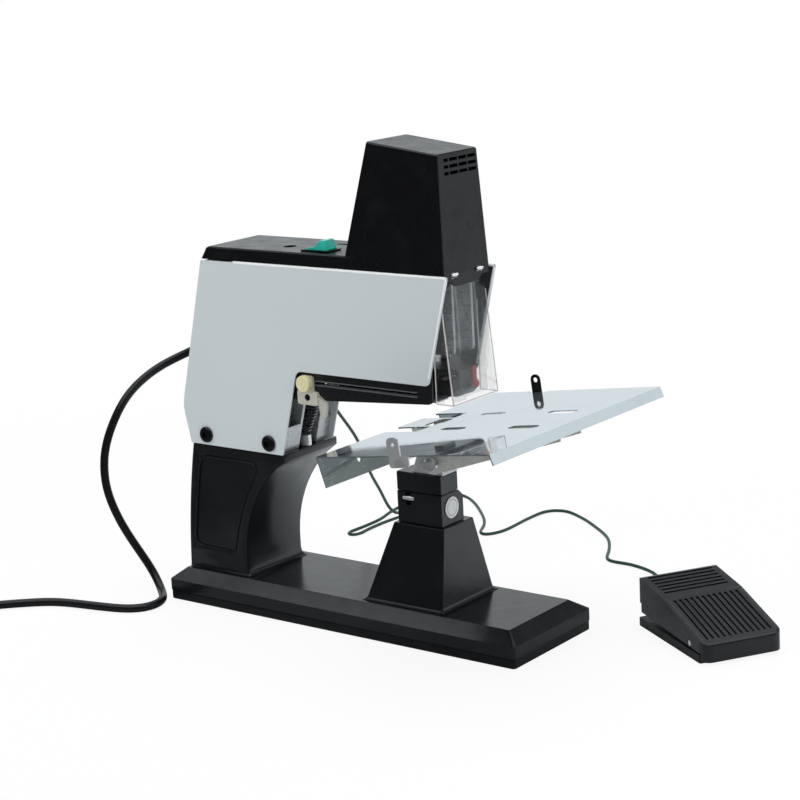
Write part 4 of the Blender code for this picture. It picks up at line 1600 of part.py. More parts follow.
def make_pedal():
    """Foot pedal: base with its ears, sprung treadle on the pin, switch, spring and the cable's relief."""
    frame = joint_empty("pedal_frame", pedal_place(0, 0, 0), (0, 0, PEDAL_YAW), False)
    half = PEDAL_LENGTH / 2
    side = PEDAL_WIDTH / 2
    front = half - PEDAL_CORNER + PEDAL_BASE_LIP / 2
    high = PEDAL_BASE_HEIGHT
    base = prism("pedal_base", rectangle(-half, front, -side, side, PEDAL_BASE_LIP, 4), "Z", 0, high, "black_plastic",
                 frame)
    ear_outer = side - PEDAL_WALL - 2 * GAP
    ear = rounded([(PEDAL_PIN_X - PEDAL_EAR_LENGTH / 2, high - GAP, 0),
                   (PEDAL_PIN_X + PEDAL_EAR_LENGTH / 2, high - GAP, 0),
                   (PEDAL_PIN_X + PEDAL_EAR_LENGTH / 4, PEDAL_PIN_Z + 2 * PEDAL_PIN_RADIUS, PEDAL_PIN_RADIUS),
                   (PEDAL_PIN_X - PEDAL_EAR_LENGTH / 4, PEDAL_PIN_Z + 2 * PEDAL_PIN_RADIUS, PEDAL_PIN_RADIUS)], 3)
    pin = circle(PEDAL_PIN_X, PEDAL_PIN_Z, PEDAL_PIN_RADIUS + GAP, 14)
    for label, low_y in (("near", -ear_outer), ("far", ear_outer - PEDAL_EAR_WIDTH)):
        fuse(base, prism("pedal_ear_" + label, ear, "Y", low_y, low_y + PEDAL_EAR_WIDTH, None, frame))
    post_rear = -half + PEDAL_BASE_LIP
    entry = PEDAL_BASE_HEIGHT + GAP + PEDAL_RELIEF_RADIUS
    reach, rise = [PEDAL_RELIEF_RADIUS * share for share in SADDLE_SHARES]
    saddle = rectangle(post_rear, post_rear + PEDAL_RELIEF_LENGTH / 2, -reach, reach)
    fuse(base, prism("relief_saddle", saddle, "Z", high / 2, entry + rise, None, frame))
    cut(base, prism("ear_bores", pin, "Y", -side - OVERRUN, side + OVERRUN, None, frame))
    relief = [(PEDAL_RELIEF_RADIUS, 0), (PEDAL_RELIEF_RADIUS, PEDAL_RELIEF_LENGTH * RELIEF_SHARES[0]),
              (PEDAL_RELIEF_RADIUS * RELIEF_SHARES[1], PEDAL_RELIEF_LENGTH)]
    inner = post_rear + PEDAL_RELIEF_LENGTH / 2
    fuse(base, turned("pedal_relief", relief, (-1, 0, 0), (inner - PEDAL_BASE_LIP / 2, 0, entry), None, frame,
                      segments=16))
    reach = side - GAP
    rods("pedal_pin", [((PEDAL_PIN_X, -reach, PEDAL_PIN_Z), PEDAL_PIN_RADIUS, 2 * reach)], (0, 1, 0), "bright_steel",
         frame, 14)
    make_treadle(entry)
    make_pedal_inside(frame)
    return pedal_place(inner - PEDAL_BASE_LIP / 2 - PEDAL_RELIEF_LENGTH, 0, entry)


def make_treadle(entry):
    """Treadle: a shell with cross grooves on its high part and lengthwise grooves on its ramp."""
    hinge = joint_empty("treadle_hinge", pedal_place(PEDAL_PIN_X, 0, PEDAL_PIN_Z), (0, 0, PEDAL_YAW), False)
    half = PEDAL_LENGTH / 2
    side = PEDAL_WIDTH / 2
    skirt_x = half - PEDAL_CORNER + PEDAL_BASE_LIP
    rear_low = PEDAL_BASE_HEIGHT + PEDAL_REAR_GAP
    front_low = PEDAL_BASE_HEIGHT + PEDAL_FRONT_GAP
    step_x = -half + PEDAL_NOTCH * NOTCH_STEP_SHARE
    step_z = rear_low + PEDAL_NOTCH
    corners = [(-half, PEDAL_REAR_HEIGHT, PEDAL_CORNER / 2), (-half, step_z, PEDAL_WALL / 3), (step_x, step_z, 0),
               (step_x, rear_low, 0), (skirt_x, front_low, 0), (skirt_x, PEDAL_BASE_LIP, 0),
               (half, PEDAL_BASE_LIP, 0), (half, PEDAL_FRONT_HEIGHT, PEDAL_WALL),
               (PEDAL_CREST, PEDAL_CREST_HEIGHT, 2 * PEDAL_CORNER)]
    shift = [(a - PEDAL_PIN_X, b - PEDAL_PIN_Z) for a, b in rounded(corners, 3)]
    treadle = prism("pedal_treadle", shift, "Y", -side, side, "black_plastic", hinge)
    plan = rounded([(-half - PEDAL_PIN_X, -side, PEDAL_CORNER / 2), (half - PEDAL_PIN_X, -side, PEDAL_CORNER),
                    (half - PEDAL_PIN_X, side, PEDAL_CORNER), (-half - PEDAL_PIN_X, side, PEDAL_CORNER / 2)], 4)
    shape_with(treadle, prism("treadle_plan", plan, "Z", -PEDAL_REAR_HEIGHT, PEDAL_REAR_HEIGHT, None, hinge),
               "INTERSECT")
    wall = PEDAL_WALL
    hollow_front = skirt_x + GAP
    cavity = [(step_x + wall, -OVERRUN), (hollow_front, -OVERRUN), (hollow_front, treadle_top(hollow_front) - wall),
              (PEDAL_CREST, PEDAL_CREST_HEIGHT - wall), (step_x + wall, treadle_top(step_x + wall) - wall)]
    shift = [(a - PEDAL_PIN_X, b - PEDAL_PIN_Z) for a, b in cavity]
    inner = prism("treadle_cavity", shift, "Y", -side + wall, side - wall, None, hinge)
    bore = prism("treadle_bore", circle(0, 0, PEDAL_PIN_RADIUS + RUNNING, 14), "Y", -side - OVERRUN, side + OVERRUN,
                 None, hinge)
    reach = 1.4 * PEDAL_RELIEF_RADIUS + 2 * GAP
    notch_top = entry + 1.3 * PEDAL_RELIEF_RADIUS + PEDAL_REAR_GAP - PEDAL_PIN_Z
    notch = prism("entry_notch", rectangle(-half - PEDAL_PIN_X - OVERRUN, step_x + wall - PEDAL_PIN_X + GAP, -reach,
                                           reach), "Z", -PEDAL_PIN_Z, notch_top, None, hinge)
    cut(treadle, inner, bore, notch)
    post_low = PEDAL_BASE_HEIGHT + SWITCH_BOX_HEIGHT + PEDAL_REAR_GAP
    post = prism("treadle_post", rectangle(SWITCH_BOX_X - wall - PEDAL_PIN_X, SWITCH_BOX_X + wall - PEDAL_PIN_X, -wall,
                                           wall), "Z", post_low - PEDAL_PIN_Z,
                 treadle_top(SWITCH_BOX_X) - wall / 2 - PEDAL_PIN_Z, None, hinge)
    fuse(treadle, post)
    cut(treadle, *treadle_grooves(hinge))


def treadle_grooves(hinge):
    """Cutters for the treadle's grip: grooves across the high part and along the ramp."""
    half = PEDAL_LENGTH / 2
    side = PEDAL_WIDTH / 2 - GROOVE_MARGIN
    first = -half + GROOVE_MARGIN
    last = PEDAL_CREST - 2 * GROOVE_MARGIN
    across = []
    for u in spread(first, last, GROOVE_COUNT):
        face = treadle_top(u)
        across.append((rectangle(u - PEDAL_PIN_X, u + GROOVE_WIDTH - PEDAL_PIN_X, face - GROOVE_DEPTH - PEDAL_PIN_Z,
                                 face + OVERRUN - PEDAL_PIN_Z), "Y", -side, side))
    start = PEDAL_CREST + GROOVE_MARGIN / 2
    end = half - 1.3 * GROOVE_MARGIN
    ramp = []
    for u, lift in ((start, -RIB_DEPTH), (end, -RIB_DEPTH), (end, OVERRUN), (start, OVERRUN)):
        ramp.append((u - PEDAL_PIN_X, treadle_top(u) + lift - PEDAL_PIN_Z))
    pitch = 2 * side / (RIB_COUNT - 1)
    along = [(ramp, "Y", v - pitch / 4, v + pitch / 4) for v in spread(-side + pitch / 4, side - pitch / 4, RIB_COUNT)]
    return prisms("cross_grooves", across, None, hinge), prisms("ramp_grooves", along, None, hinge)


def make_pedal_inside(frame):
    """Switch and spring under the treadle."""
    floor = PEDAL_BASE_HEIGHT + GAP
    length = SWITCH_BOX_LENGTH / 2
    width = SWITCH_BOX_WIDTH / 2
    box = prism("pedal_switch", rectangle(SWITCH_BOX_X - length, SWITCH_BOX_X + length, -width, width), "Z", floor,
                floor + SWITCH_BOX_HEIGHT, "dark_steel", frame)
    button = prism("pedal_button", circle(SWITCH_BOX_X, 0, width / 2, 12), "Z", floor + SWITCH_BOX_HEIGHT / 2,
                   floor + SWITCH_BOX_HEIGHT + PEDAL_WALL / 2, None, frame)
    fuse(box, button)
    low = floor + PEDAL_SPRING_WIRE / 2
    ceiling = treadle_top(PEDAL_SPRING_X + PEDAL_SPRING_RADIUS + PEDAL_SPRING_WIRE) - PEDAL_WALL
    high = ceiling - GAP - PEDAL_SPRING_WIRE / 2
    spring("pedal_spring", (PEDAL_SPRING_X, 0, low), (PEDAL_SPRING_X, 0, high),
           (PEDAL_SPRING_RADIUS, PEDAL_SPRING_RADIUS), PEDAL_SPRING_WIRE, PEDAL_SPRING_TURNS, "dark_steel", frame)


def coil_points(centre, outer, turns, start_angle, height):
    """Cord wound clockwise inwards on the floor layer and outwards over it, climbing where it turns back."""
    total = 2 * turns * COIL_LOOP_POINTS
    points = []
    for step in range(total + 1):
        turn = step / COIL_LOOP_POINTS
        radius = outer - COIL_PITCH * (turns - abs(turn - turns))
        climb = min(max((turn - turns) * 2 + 0.5, 0.0), 1.0)
        climb = climb * climb * (3 - 2 * climb)
        angle = start_angle - 2 * math.pi * turn
        points.append((centre[0] + radius * math.cos(angle), centre[1] + radius * math.sin(angle),
                       height + COIL_LAYER * climb))
    print("mains_coil least gap to itself in mm",
          round(1000 * least_gap(points, MAINS_DIAMETER, COIL_LOOP_POINTS // 3), 2))
    return points


def make_mains(gland_end, gland_axis):
    """Mains cord from the gland down to the floor and away, its coil, its tail and its plug."""
    radius = MAINS_DIAMETER / 2
    start = gland_end + gland_axis * GAP
    floor = radius + GAP / 3
    centre = (COIL_CENTRE_X, COIL_CENTRE_Y)
    loops = coil_points(centre, COIL_OUTER, COIL_TURNS, COIL_ENTRY_ANGLE, floor)
    heading = Vector((math.sin(COIL_ENTRY_ANGLE), -math.cos(COIL_ENTRY_ANGLE), 0))
    entry = Vector(loops[0]) - heading * MAINS_DIAMETER
    route = [start, start + gland_axis * MAINS_DIAMETER] + [Vector(point) for point in MAINS_ROUTE]
    route += [Vector((x, y, floor)) for x, y in MAINS_FLOOR_ROUTE]
    route += [entry - heading * (GAP + MAINS_DIAMETER), entry - heading * GAP]
    points, length = cord_points(route, MAINS_POINTS)
    tube("mains_cord", points, MAINS_DIAMETER, 2, "black_plastic")
    coil = [tuple(entry)] + loops
    leaving = Vector(loops[-1])
    drop = leaving.z - PLUG_HEIGHT / 2
    tail_end = TAIL_LENGTH - MAINS_DIAMETER
    for share in spread(0, 1, TAIL_POINTS)[1:]:
        ease = share * share * (3 - 2 * share)
        coil.append(tuple(leaving + heading * tail_end * share - Vector((0, 0, drop * ease))))
    end = Vector(coil[-1]) + heading * MAINS_DIAMETER
    coil.append(tuple(end))
    tube("mains_coil", coil, MAINS_DIAMETER, 1, "black_plastic")
    wound = sum((Vector(b) - Vector(a)).length for a, b in zip(coil, coil[1:]))
    print("mains cord and coil in m", round(length, 3), round(wound, 3))
    make_plug(end + heading * GAP, heading)


def make_plug(entry, heading):
    """Moulded plug lying on the floor with its two flat blades."""
    turn = math.atan2(heading.y, heading.x)
    lie = joint_empty("plug_frame", entry, (0, 0, turn), False)
    neck, wide, tall = [MAINS_DIAMETER * PLUG_NECK_SHARES[0] * share for share in (1, *PLUG_NECK_SHARES[1:])]
    rings = []
    for x, width, height in ((0, neck, neck), (PLUG_NECK, wide, tall),
                             (PLUG_NECK + PLUG_HEIGHT / 2, PLUG_WIDTH / 2, PLUG_HEIGHT / 2),
                             (PLUG_LENGTH - PLUG_HEIGHT / 5, PLUG_WIDTH / 2, PLUG_HEIGHT / 2),
                             (PLUG_LENGTH, PLUG_WIDTH / 2 - GAP * 4, PLUG_HEIGHT / 2 - GAP * 4)):
        corner = min(width, height) * PLUG_CORNER_SHARE
        rings.append([(x, a, b) for a, b in rectangle(-width, width, -height, height, corner, 3)])
    body = loft("mains_plug", rings, "black_plastic", lie, 40)
    blades = []
    for side in (-1, 1):
        middle = side * PLUG_BLADE_PITCH / 2
        blades.append((rectangle(middle - PLUG_BLADE_THICK / 2, middle + PLUG_BLADE_THICK / 2, -PLUG_BLADE_WIDTH / 2,
                                 PLUG_BLADE_WIDTH / 2), "X", PLUG_LENGTH - PLUG_NECK / 2,
                       PLUG_LENGTH + PLUG_BLADE_LENGTH))
    fuse(body, prisms("plug_blades", blades, None, lie))


def make_cable(pedal_end):
    """Pedal cable from the jack on the far flank, over the floor behind the machine, to the pedal."""
    radius = CABLE_DIAMETER / 2
    start = Vector((SOCKET_X, BODY_FAR_Y + 3 * GAP + SOCKET_FLANGE + JACK_LENGTH, PANEL_FOOT_Z + SOCKET_RISE))
    away = Vector((0, 1, 0))
    inward = Vector((math.cos(PEDAL_YAW), math.sin(PEDAL_YAW), 0))
    end = pedal_end - inward * GAP
    route = [start, start + away * CABLE_DIAMETER] + [Vector(point) for point in CABLE_DROP]
    route += [Vector((x, y, radius + GAP / 3)) for x, y in CABLE_FLOOR_ROUTE]
    route += [Vector(point) for point in CABLE_RISE] + [end - inward * CABLE_DIAMETER, end]
    points, length = cord_points(route, CABLE_POINTS)
    tube("pedal_cable", points, CABLE_DIAMETER, 2, "cable_green")
    print("pedal cable in m", round(length, 3))


def main():
    clear_scene()
    make_base()
    make_column()
    make_pedestal()
    make_block()
    make_anvil()
    make_table()
    make_side_panels()
    gland_end, gland_axis = make_rear_panel()
    make_frame()
    make_hood()
    make_switch()
    arm = make_arm()
    make_magazine(arm)
    make_return_spring()
    make_depth_stop()
    make_guard()
    make_solenoid()
    make_control_board()
    pedal_end = make_pedal()
    make_mains(gland_end, gland_axis)
    make_cable(pedal_end)


main()
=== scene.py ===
import math
import bpy
import bmesh
import numpy as np
from mathutils import Matrix, Vector


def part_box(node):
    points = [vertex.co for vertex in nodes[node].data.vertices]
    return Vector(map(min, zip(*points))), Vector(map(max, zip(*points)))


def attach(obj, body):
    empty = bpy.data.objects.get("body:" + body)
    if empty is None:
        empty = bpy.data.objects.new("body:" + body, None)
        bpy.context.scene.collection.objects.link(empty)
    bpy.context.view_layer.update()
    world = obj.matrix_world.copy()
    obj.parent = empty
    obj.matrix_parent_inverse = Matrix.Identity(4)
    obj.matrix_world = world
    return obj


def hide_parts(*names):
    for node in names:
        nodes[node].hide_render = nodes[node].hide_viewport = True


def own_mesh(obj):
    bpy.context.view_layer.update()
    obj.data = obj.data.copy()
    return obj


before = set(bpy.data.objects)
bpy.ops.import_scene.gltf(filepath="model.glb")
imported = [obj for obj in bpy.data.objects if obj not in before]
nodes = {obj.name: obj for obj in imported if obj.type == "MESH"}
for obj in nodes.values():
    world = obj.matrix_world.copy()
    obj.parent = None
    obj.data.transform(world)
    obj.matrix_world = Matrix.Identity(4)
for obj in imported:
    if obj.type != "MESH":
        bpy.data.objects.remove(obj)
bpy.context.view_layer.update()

print("frame loaded:", len(nodes), "nodes")


cameraSettings = {
    "azimuth": 38.131,           # degrees round from the near side
    "elevation": 12.95,
    "roll": -3.04,
    "place": (0.98944, -1.21198, 0.53003),
    "lens": 93.99, "sensor": 36,  # both in millimetres
    "clip": (0.05, 30),
}


def newObject(name, data):
    thing = bpy.data.objects.new(name, data)
    bpy.context.scene.collection.objects.link(thing)
    return thing


def makeCamera(settings):
    # the view direction comes from azimuth and elevation, then right and up turn by the roll
    a, e, roll = (math.radians(settings[key]) for key in ("azimuth", "elevation", "roll"))
    back = Vector((math.sin(a) * math.cos(e), -math.cos(a) * math.cos(e), math.sin(e)))
    right = (-back).cross(Vector((0, 0, 1))).normalized()
    up = right.cross(-back)
    turnedRight = right * math.cos(roll) + up * math.sin(roll)
    turnedUp = up * math.cos(roll) - right * math.sin(roll)
    data = bpy.data.cameras.new("studioCamera")
    data.sensor_width, data.lens = settings["sensor"], settings["lens"]
    data.clip_start, data.clip_end = settings["clip"]
    camera = newObject("studioCamera", data)
    turn = Matrix((turnedRight, turnedUp, back)).transposed()
    camera.matrix_world = Matrix.Translation(settings["place"]) @ turn.to_4x4()
    bpy.context.scene.camera = camera


makeCamera(cameraSettings)
print("camera set")


def newPiece(name, verts, faces, material, body="stand", smooth=35, replaced=(), uv=None):
    # a mesh object at the origin, riding on a body, with edges sharper than `smooth` degrees kept sharp
    mesh = bpy.data.meshes.new(name)
    mesh.from_pydata(verts, [], faces)
    if uv is not None:
        layer = mesh.uv_layers.new(name="UVMap")
        loops = np.zeros(len(mesh.loops), np.int32)
        mesh.loops.foreach_get("vertex_index", loops)
        layer.data.foreach_set("uv", np.asarray(uv, np.float32)[loops].ravel())
    tidyMesh(mesh, smooth)
    piece = newObject(name, mesh)
    mesh.materials.append(material)
    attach(piece, body)
    if replaced:
        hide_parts(*replaced)
    return piece


def tidyMesh(mesh, smooth):
    # doubles are merged first, then every face turned outwards and edges marked sharp by their angle
    shape = bmesh.new()
    shape.from_mesh(mesh)
    bmesh.ops.remove_doubles(shape, verts=shape.verts, dist=1e-7)
    bmesh.ops.dissolve_degenerate(shape, dist=1e-8, edges=shape.edges)
    bmesh.ops.recalc_face_normals(shape, faces=shape.faces)
    for face in shape.faces:
        face.smooth = True
    limit = math.radians(smooth)
    for edge in shape.edges:
        edge.smooth = len(edge.link_faces) == 2 and edge.calc_face_angle(0) < limit
    shape.to_mesh(mesh)
    shape.free()


def gridPiece(name, grid, material, caps=True, **more):
    # quads through a grid of points (rows, columns, 3), each row a closed ring; caps are flat faces at both ends
    grid = np.asarray(grid, float)
    rows, columns = grid.shape[:2]
    row, column = np.meshgrid(np.arange(rows - 1), np.arange(columns), indexing="ij")
    here, after = row * columns + column, row * columns + (column + 1) % columns
    faces = np.stack([here, after, after + columns, here + columns], -1).reshape(-1, 4).tolist()
    if caps:
        faces += [list(range(columns)), list(range((rows - 1) * columns, rows * columns))]
    return newPiece(name, grid.reshape(-1, 3).tolist(), faces, material, **more)


def axisFrame(axis):
    # the axis as a unit vector, and two more square to it
    axis = np.asarray(axis, float) / np.linalg.norm(axis)
    side = np.cross((0, 0, 1) if abs(axis[2]) < 0.9 else (1, 0, 0), axis)
    side = side / np.linalg.norm(side)
    return axis, side, np.cross(axis, side)


def fullTurn(count):
    # angles evenly round a circle
    return np.linspace(0, 2 * math.pi, count, endpoint=False)


def turnedPiece(name, profile, axis, centre, material, segments, rows=slice(0), factor=1, **more):
    # round piece: a point of the profile at (radius, height) goes to
    # centre + height * axis + radius * (cos t * side + sin t * other), where the radius of some rows is first
    # multiplied by a factor that changes with t
    axis, side, other = axisFrame(axis)
    profile = np.asarray(profile, float)
    angle = fullTurn(segments)
    radius = np.repeat(profile[:, :1], segments, axis=1)
    radius[rows] *= factor
    ring = np.cos(angle)[:, None] * side + np.sin(angle)[:, None] * other
    grid = np.asarray(centre, float) + profile[:, None, 1:] * axis + radius[:, :, None] * ring
    return gridPiece(name, grid, material, caps=False, **more)


def softProfile(corners, radius, steps):
    # each inner corner of an open profile is replaced by a short quadratic curve that starts and ends `radius` away
    points = [corners[0]]
    share = np.linspace(0, 1, steps + 1)[:, None]
    for before, here, after in zip(corners, corners[1:], corners[2:]):
        start, end = (here + (other - here) * radius / np.linalg.norm(other - here) for other in (before, after))
        points.extend((1 - share) ** 2 * start + 2 * share * (1 - share) * here + share ** 2 * end)
    points.append(corners[-1])
    return np.array(points)


def pathFrames(path):
    # tangents by central differences; normals carried along by removing the part along each new tangent
    tangent = np.gradient(path, axis=0)
    tangent /= np.linalg.norm(tangent, axis=1)[:, None]
    _, normal, _ = axisFrame(tangent[0])
    normals = []
    for direction in tangent:
        normal = normal - direction * normal.dot(direction)
        normal = normal / np.linalg.norm(normal)
        normals.append(normal)
    normals = np.array(normals)
    return normals, np.cross(tangent, normals)


def distanceAlong(path):
    # how far each point lies from the first, along the path
    return np.concatenate([[0], np.cumsum(np.linalg.norm(np.diff(path, axis=0), axis=1))])


def tubePiece(name, path, radius, material, segments=16, **more):
    # round tube: a circle of the given radius carried along a path
    normal, other = pathFrames(path)
    angle = fullTurn(segments)
    ring = np.cos(angle)[None, :, None] * normal[:, None] + np.sin(angle)[None, :, None] * other[:, None]
    uv = np.stack(np.broadcast_arrays(angle / (2 * math.pi), distanceAlong(path)[:, None]), -1).reshape(-1, 2)
    return gridPiece(name, path[:, None] + radius * ring, material, uv=uv, **more)


def nodeBox(node):
    low, high = (np.asarray(corner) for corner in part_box(node))
    return low, high, (low + high) / 2


class nodeTree:
    def __init__(self, tree):
        self.tree = tree
        tree.nodes.clear()

    def feed(self, socket, value):
        # another node's socket is linked, anything else is set
        if isinstance(value, bpy.types.NodeSocket):
            self.tree.links.new(value, socket)
        else:
            socket.default_value = value

    def new(self, kind, **values):
        # a node with its inputs fed; _ stands for the space in an input's name
        node = self.tree.nodes.new("ShaderNode" + kind)
        for key, value in values.items():
            self.feed(node.inputs[key.replace("_", " ")], value)
        return node

    def ramp(self, source, low, high, fromLow=0.0, fromHigh=1.0, ease="LINEAR"):
        # source from fromLow to fromHigh becomes low to high
        node = self.new("MapRange", Value=source, From_Min=fromLow, From_Max=fromHigh, To_Min=low, To_Max=high)
        node.interpolation_type = ease
        return node.outputs["Result"]

    def maths(self, operation, *values, kind="Math", output="Value"):
        # the operation on numbers, or on vectors with kind VectorMath
        node = self.new(kind)
        node.operation = operation
        for socket, value in zip(node.inputs, values):
            self.feed(socket, value)
        return node.outputs[output]

    def mix(self, share, first, second):
        # colour between first and second by share; each may be a socket or a colour
        node = self.new("Mix", Factor=share)
        node.data_type = "RGBA"
        for socket, value in zip((node.inputs[6], node.inputs[7]), (first, second)):
            self.feed(socket, (*value, 1) if isinstance(value, tuple) else value)
        return node.outputs[2]


class finishMaker(nodeTree):
    def __init__(self, name, **values):
        self.material = bpy.data.materials.new(name)
        self.material.use_nodes = True
        super().__init__(self.material.node_tree)
        self.shader = self.new("BsdfPrincipled", **values)
        self.new("OutputMaterial", Surface=self.shader.outputs["BSDF"])
        self.coords = self.new("TexCoord").outputs["Object"]
        self.height = None

    def spread(self, scale):
        # object coordinates times a scale for each axis
        return self.new("Mapping", Vector=self.coords, Scale=scale).outputs["Vector"]

    def noise(self, scale, detail=3.0, rough=0.55, vector=None):
        return self.new("TexNoise", Vector=vector or self.coords, Scale=scale, Detail=detail,
                        Roughness=rough).outputs["Fac"]

    def cells(self, scale, feature="F1", randomness=1.0):
        node = self.new("TexVoronoi", Vector=self.coords, Scale=scale, Randomness=randomness)
        node.feature = feature
        return node.outputs["Distance"]

    def along(self, direction, start, width=0.0002):
        # 0 before the plane square to `direction` at distance `start` from the origin, 1 after it
        dot = self.maths("DOT_PRODUCT", self.coords, direction, kind="VectorMath")
        return self.ramp(dot, 0.0, 1.0, start, start + width)

    def colour(self, source):
        self.feed(self.shader.inputs["Base Color"], source)

    def roughness(self, source):
        self.feed(self.shader.inputs["Roughness"], source)

    def bump(self, source, distance, strength):
        # bumps are chained, so the coarse one lies under the fine one
        node = self.new("Bump", Height=source, Distance=distance, Strength=strength)
        if self.height is not None:
            self.feed(node.inputs["Normal"], self.height)
        self.height = node.outputs["Normal"]
        self.feed(self.shader.inputs["Normal"], self.height)


paintSettings = {
    "castBlack": (0.0078, 0.0083, 0.0098),
    "castDust": (0.0115, 0.0122, 0.0140),
    "mouldBlack": (0.0040, 0.0042, 0.0052),
    "mouldDust": (0.0090, 0.0094, 0.0110),
    "panelWhite": (0.600, 0.655, 0.665),
    "panelShade": (0.600, 0.655, 0.668),
    # painted shade for the side panels' inner faces
    "paintedInsideShade": (0.045, 0.050, 0.054),
}


def castPaint():
    # thick semi-gloss black paint on a casting: orange peel, faint dust and uneven gloss
    m = finishMaker("castPaint")
    dust = m.ramp(m.noise(38, 5, 0.6), 0, 1, 0.45, 0.85)
    m.colour(m.mix(dust, paintSettings["castBlack"], paintSettings["castDust"]))
    m.roughness(m.ramp(m.noise(60, 4, 0.6), 0.16, 0.25, 0.3, 0.7))
    m.bump(m.noise(150, 3, 0.5), 0.00030, 0.30)
    m.bump(m.noise(850, 2, 0.5), 0.00007, 0.35)
    return m.material


def blackMoulding(name, low, high, grain, base=paintSettings["mouldBlack"]):
    # black moulding with a fine spark-eroded grain, glossier where it was rubbed
    m = finishMaker(name)
    dust = m.ramp(m.noise(30, 5, 0.62), 0, 1, 0.50, 0.85)
    m.colour(m.mix(dust, base, paintSettings["mouldDust"]))
    m.roughness(m.ramp(m.noise(85, 4, 0.6), low, high, 0.3, 0.7))
    m.bump(m.cells(grain), 0.00004, 0.16)
    m.bump(m.noise(24, 2), 0.0003, 0.06)
    return m.material


def panelPaint(name, sheet=None):
    # cool white enamel on steel sheet, a little uneven in tone and gloss; painted shade on the inner faces, towards
    # the head
    m = finishMaker(name)
    tone = m.ramp(m.noise(9, 4, 0.6), 0, 1, 0.30, 0.75)
    outer = m.mix(tone, paintSettings["panelShade"], paintSettings["panelWhite"])
    if sheet is not None:
        # painted shade: the inner faces between the two sheets, towards the front, are given a dark colour
        inside = m.maths("MULTIPLY", m.along((0, 1, 0), sheet[0]), m.along((0, -1, 0), -sheet[1]))
        inside = m.maths("MULTIPLY", inside, m.along((1, 0, 0), 0.02, 0.04))
        outer = m.mix(inside, outer, paintSettings["paintedInsideShade"])
    m.colour(outer)
    m.roughness(m.ramp(m.noise(45, 4, 0.6), 0.28, 0.34, 0.3, 0.7))
    m.bump(m.noise(260, 3, 0.5), 0.00010, 0.20)
    return m.material


def platedSteel(name, colour, low, high, metal=1.0):
    # plated or bare steel with fine drawn lines and smudges; metal below 1 leaves some of a satin plating's tone
    m = finishMaker(name, Metallic=metal)
    lines = m.noise(1.0, 3, 0.6, vector=m.spread((40, 900, 900)))
    smudge = m.noise(55, 4, 0.65)
    shade = tuple(0.86 * c for c in colour)
    m.colour(m.mix(m.ramp(smudge, 0, 1, 0.35, 0.7), shade, colour))
    m.roughness(m.maths("ADD", m.ramp(smudge, low, high, 0.3, 0.72), m.ramp(lines, -0.02, 0.04, 0.3, 0.7)))
    m.bump(lines, 0.00003, 0.25)
    return m.material


def mirrorSheet():
    # polished sheet: nearly a mirror, with a cool tint, slow waves, hair scratches and finger marks
    m = finishMaker("mirrorSheet", Metallic=0.92)
    marks = m.ramp(m.noise(26, 5, 0.7), 0, 1, 0.48, 0.74)
    m.colour(m.mix(marks, (0.665, 0.735, 0.765), (0.615, 0.685, 0.710)))
    hairs = m.ramp(m.noise(1.0, 2, 0.5, vector=m.spread((26, 420, 420))), 0.0, 0.05, 0.50, 0.75)
    m.roughness(m.maths("ADD", m.ramp(marks, 0.035, 0.10), hairs))
    m.bump(m.noise(16, 2, 0.4), 0.0012, 0.05)
    return m.material


def clearSheet():
    # clear moulded sheet with fine rubs and a faint haze
    m = finishMaker("clearSheet", IOR=1.49, Alpha=0.27, Transmission_Weight=1.0)
    m.colour(m.mix(m.ramp(m.noise(40, 3), 0, 1, 0.4, 0.7), (0.965, 0.955, 0.960), (0.985, 0.985, 0.990)))
    m.roughness(m.ramp(m.noise(70, 5, 0.7), 0.015, 0.06, 0.45, 0.8))
    m.bump(m.noise(60, 2), 0.0002, 0.05)
    return m.material


def frostedEdgeAndHighlight():
    # the sheet's cut and folded edges: frosted where cut, and painted milky and faintly pink as a painted highlight
    # for the light they gather
    m = finishMaker("frostedEdgeAndHighlight", IOR=1.49, Transmission_Weight=0.35)
    m.colour(m.mix(m.noise(240, 3), (0.80, 0.765, 0.775), (0.93, 0.90, 0.905)))
    m.roughness(m.ramp(m.noise(400, 2), 0.14, 0.34))
    m.bump(m.noise(700, 2), 0.00005, 0.4)
    return m.material


def greenLens():
    # translucent green rocker moulding
    m = finishMaker("greenLens", Transmission_Weight=0.18)
    m.colour(m.mix(m.noise(120, 2), (0.015, 0.50, 0.40), (0.060, 0.74, 0.61)))
    m.roughness(m.ramp(m.noise(150, 2), 0.10, 0.20))
    m.bump(m.cells(700), 0.00005, 0.3)
    return m.material


def plainMoulding(name, colour, shade, low, high):
    # matt or glossy moulding in one hue, with cloudy tone and a fine grain
    m = finishMaker(name, IOR=1.48)
    m.colour(m.mix(m.ramp(m.noise(130, 4, 0.6), 0, 1, 0.35, 0.7), shade, colour))
    m.roughness(m.ramp(m.noise(200, 3), low, high, 0.3, 0.7))
    m.bump(m.noise(900, 2), 0.00008, 0.3)
    return m.material


def windingWire():
    # varnished copper wire wound in even turns
    m = finishMaker("windingWire", Metallic=0.7)
    wave = m.new("TexWave", Vector=m.coords, Scale=420, Distortion=0.3, Detail=0.0)
    wave.bands_direction = "Z"
    turns = wave.outputs["Fac"]
    m.colour(m.mix(turns, (0.30, 0.10, 0.04), (0.70, 0.32, 0.14)))
    m.roughness(m.ramp(m.noise(300), 0.25, 0.45))
    m.bump(turns, 0.0004, 0.8)
    return m.material


def boardLacquer():
    # green lacquered board with a net of lighter tracks
    m = finishMaker("boardLacquer")
    tracks = m.ramp(m.cells(170, "DISTANCE_TO_EDGE", randomness=0.35), 1.0, 0.0, 0.06, 0.10)
    m.colour(m.mix(tracks, (0.02, 0.13, 0.06), (0.07, 0.30, 0.14)))
    m.roughness(m.ramp(m.noise(180), 0.28, 0.48))
    m.bump(tracks, 0.0001, 0.6)
    return m.material


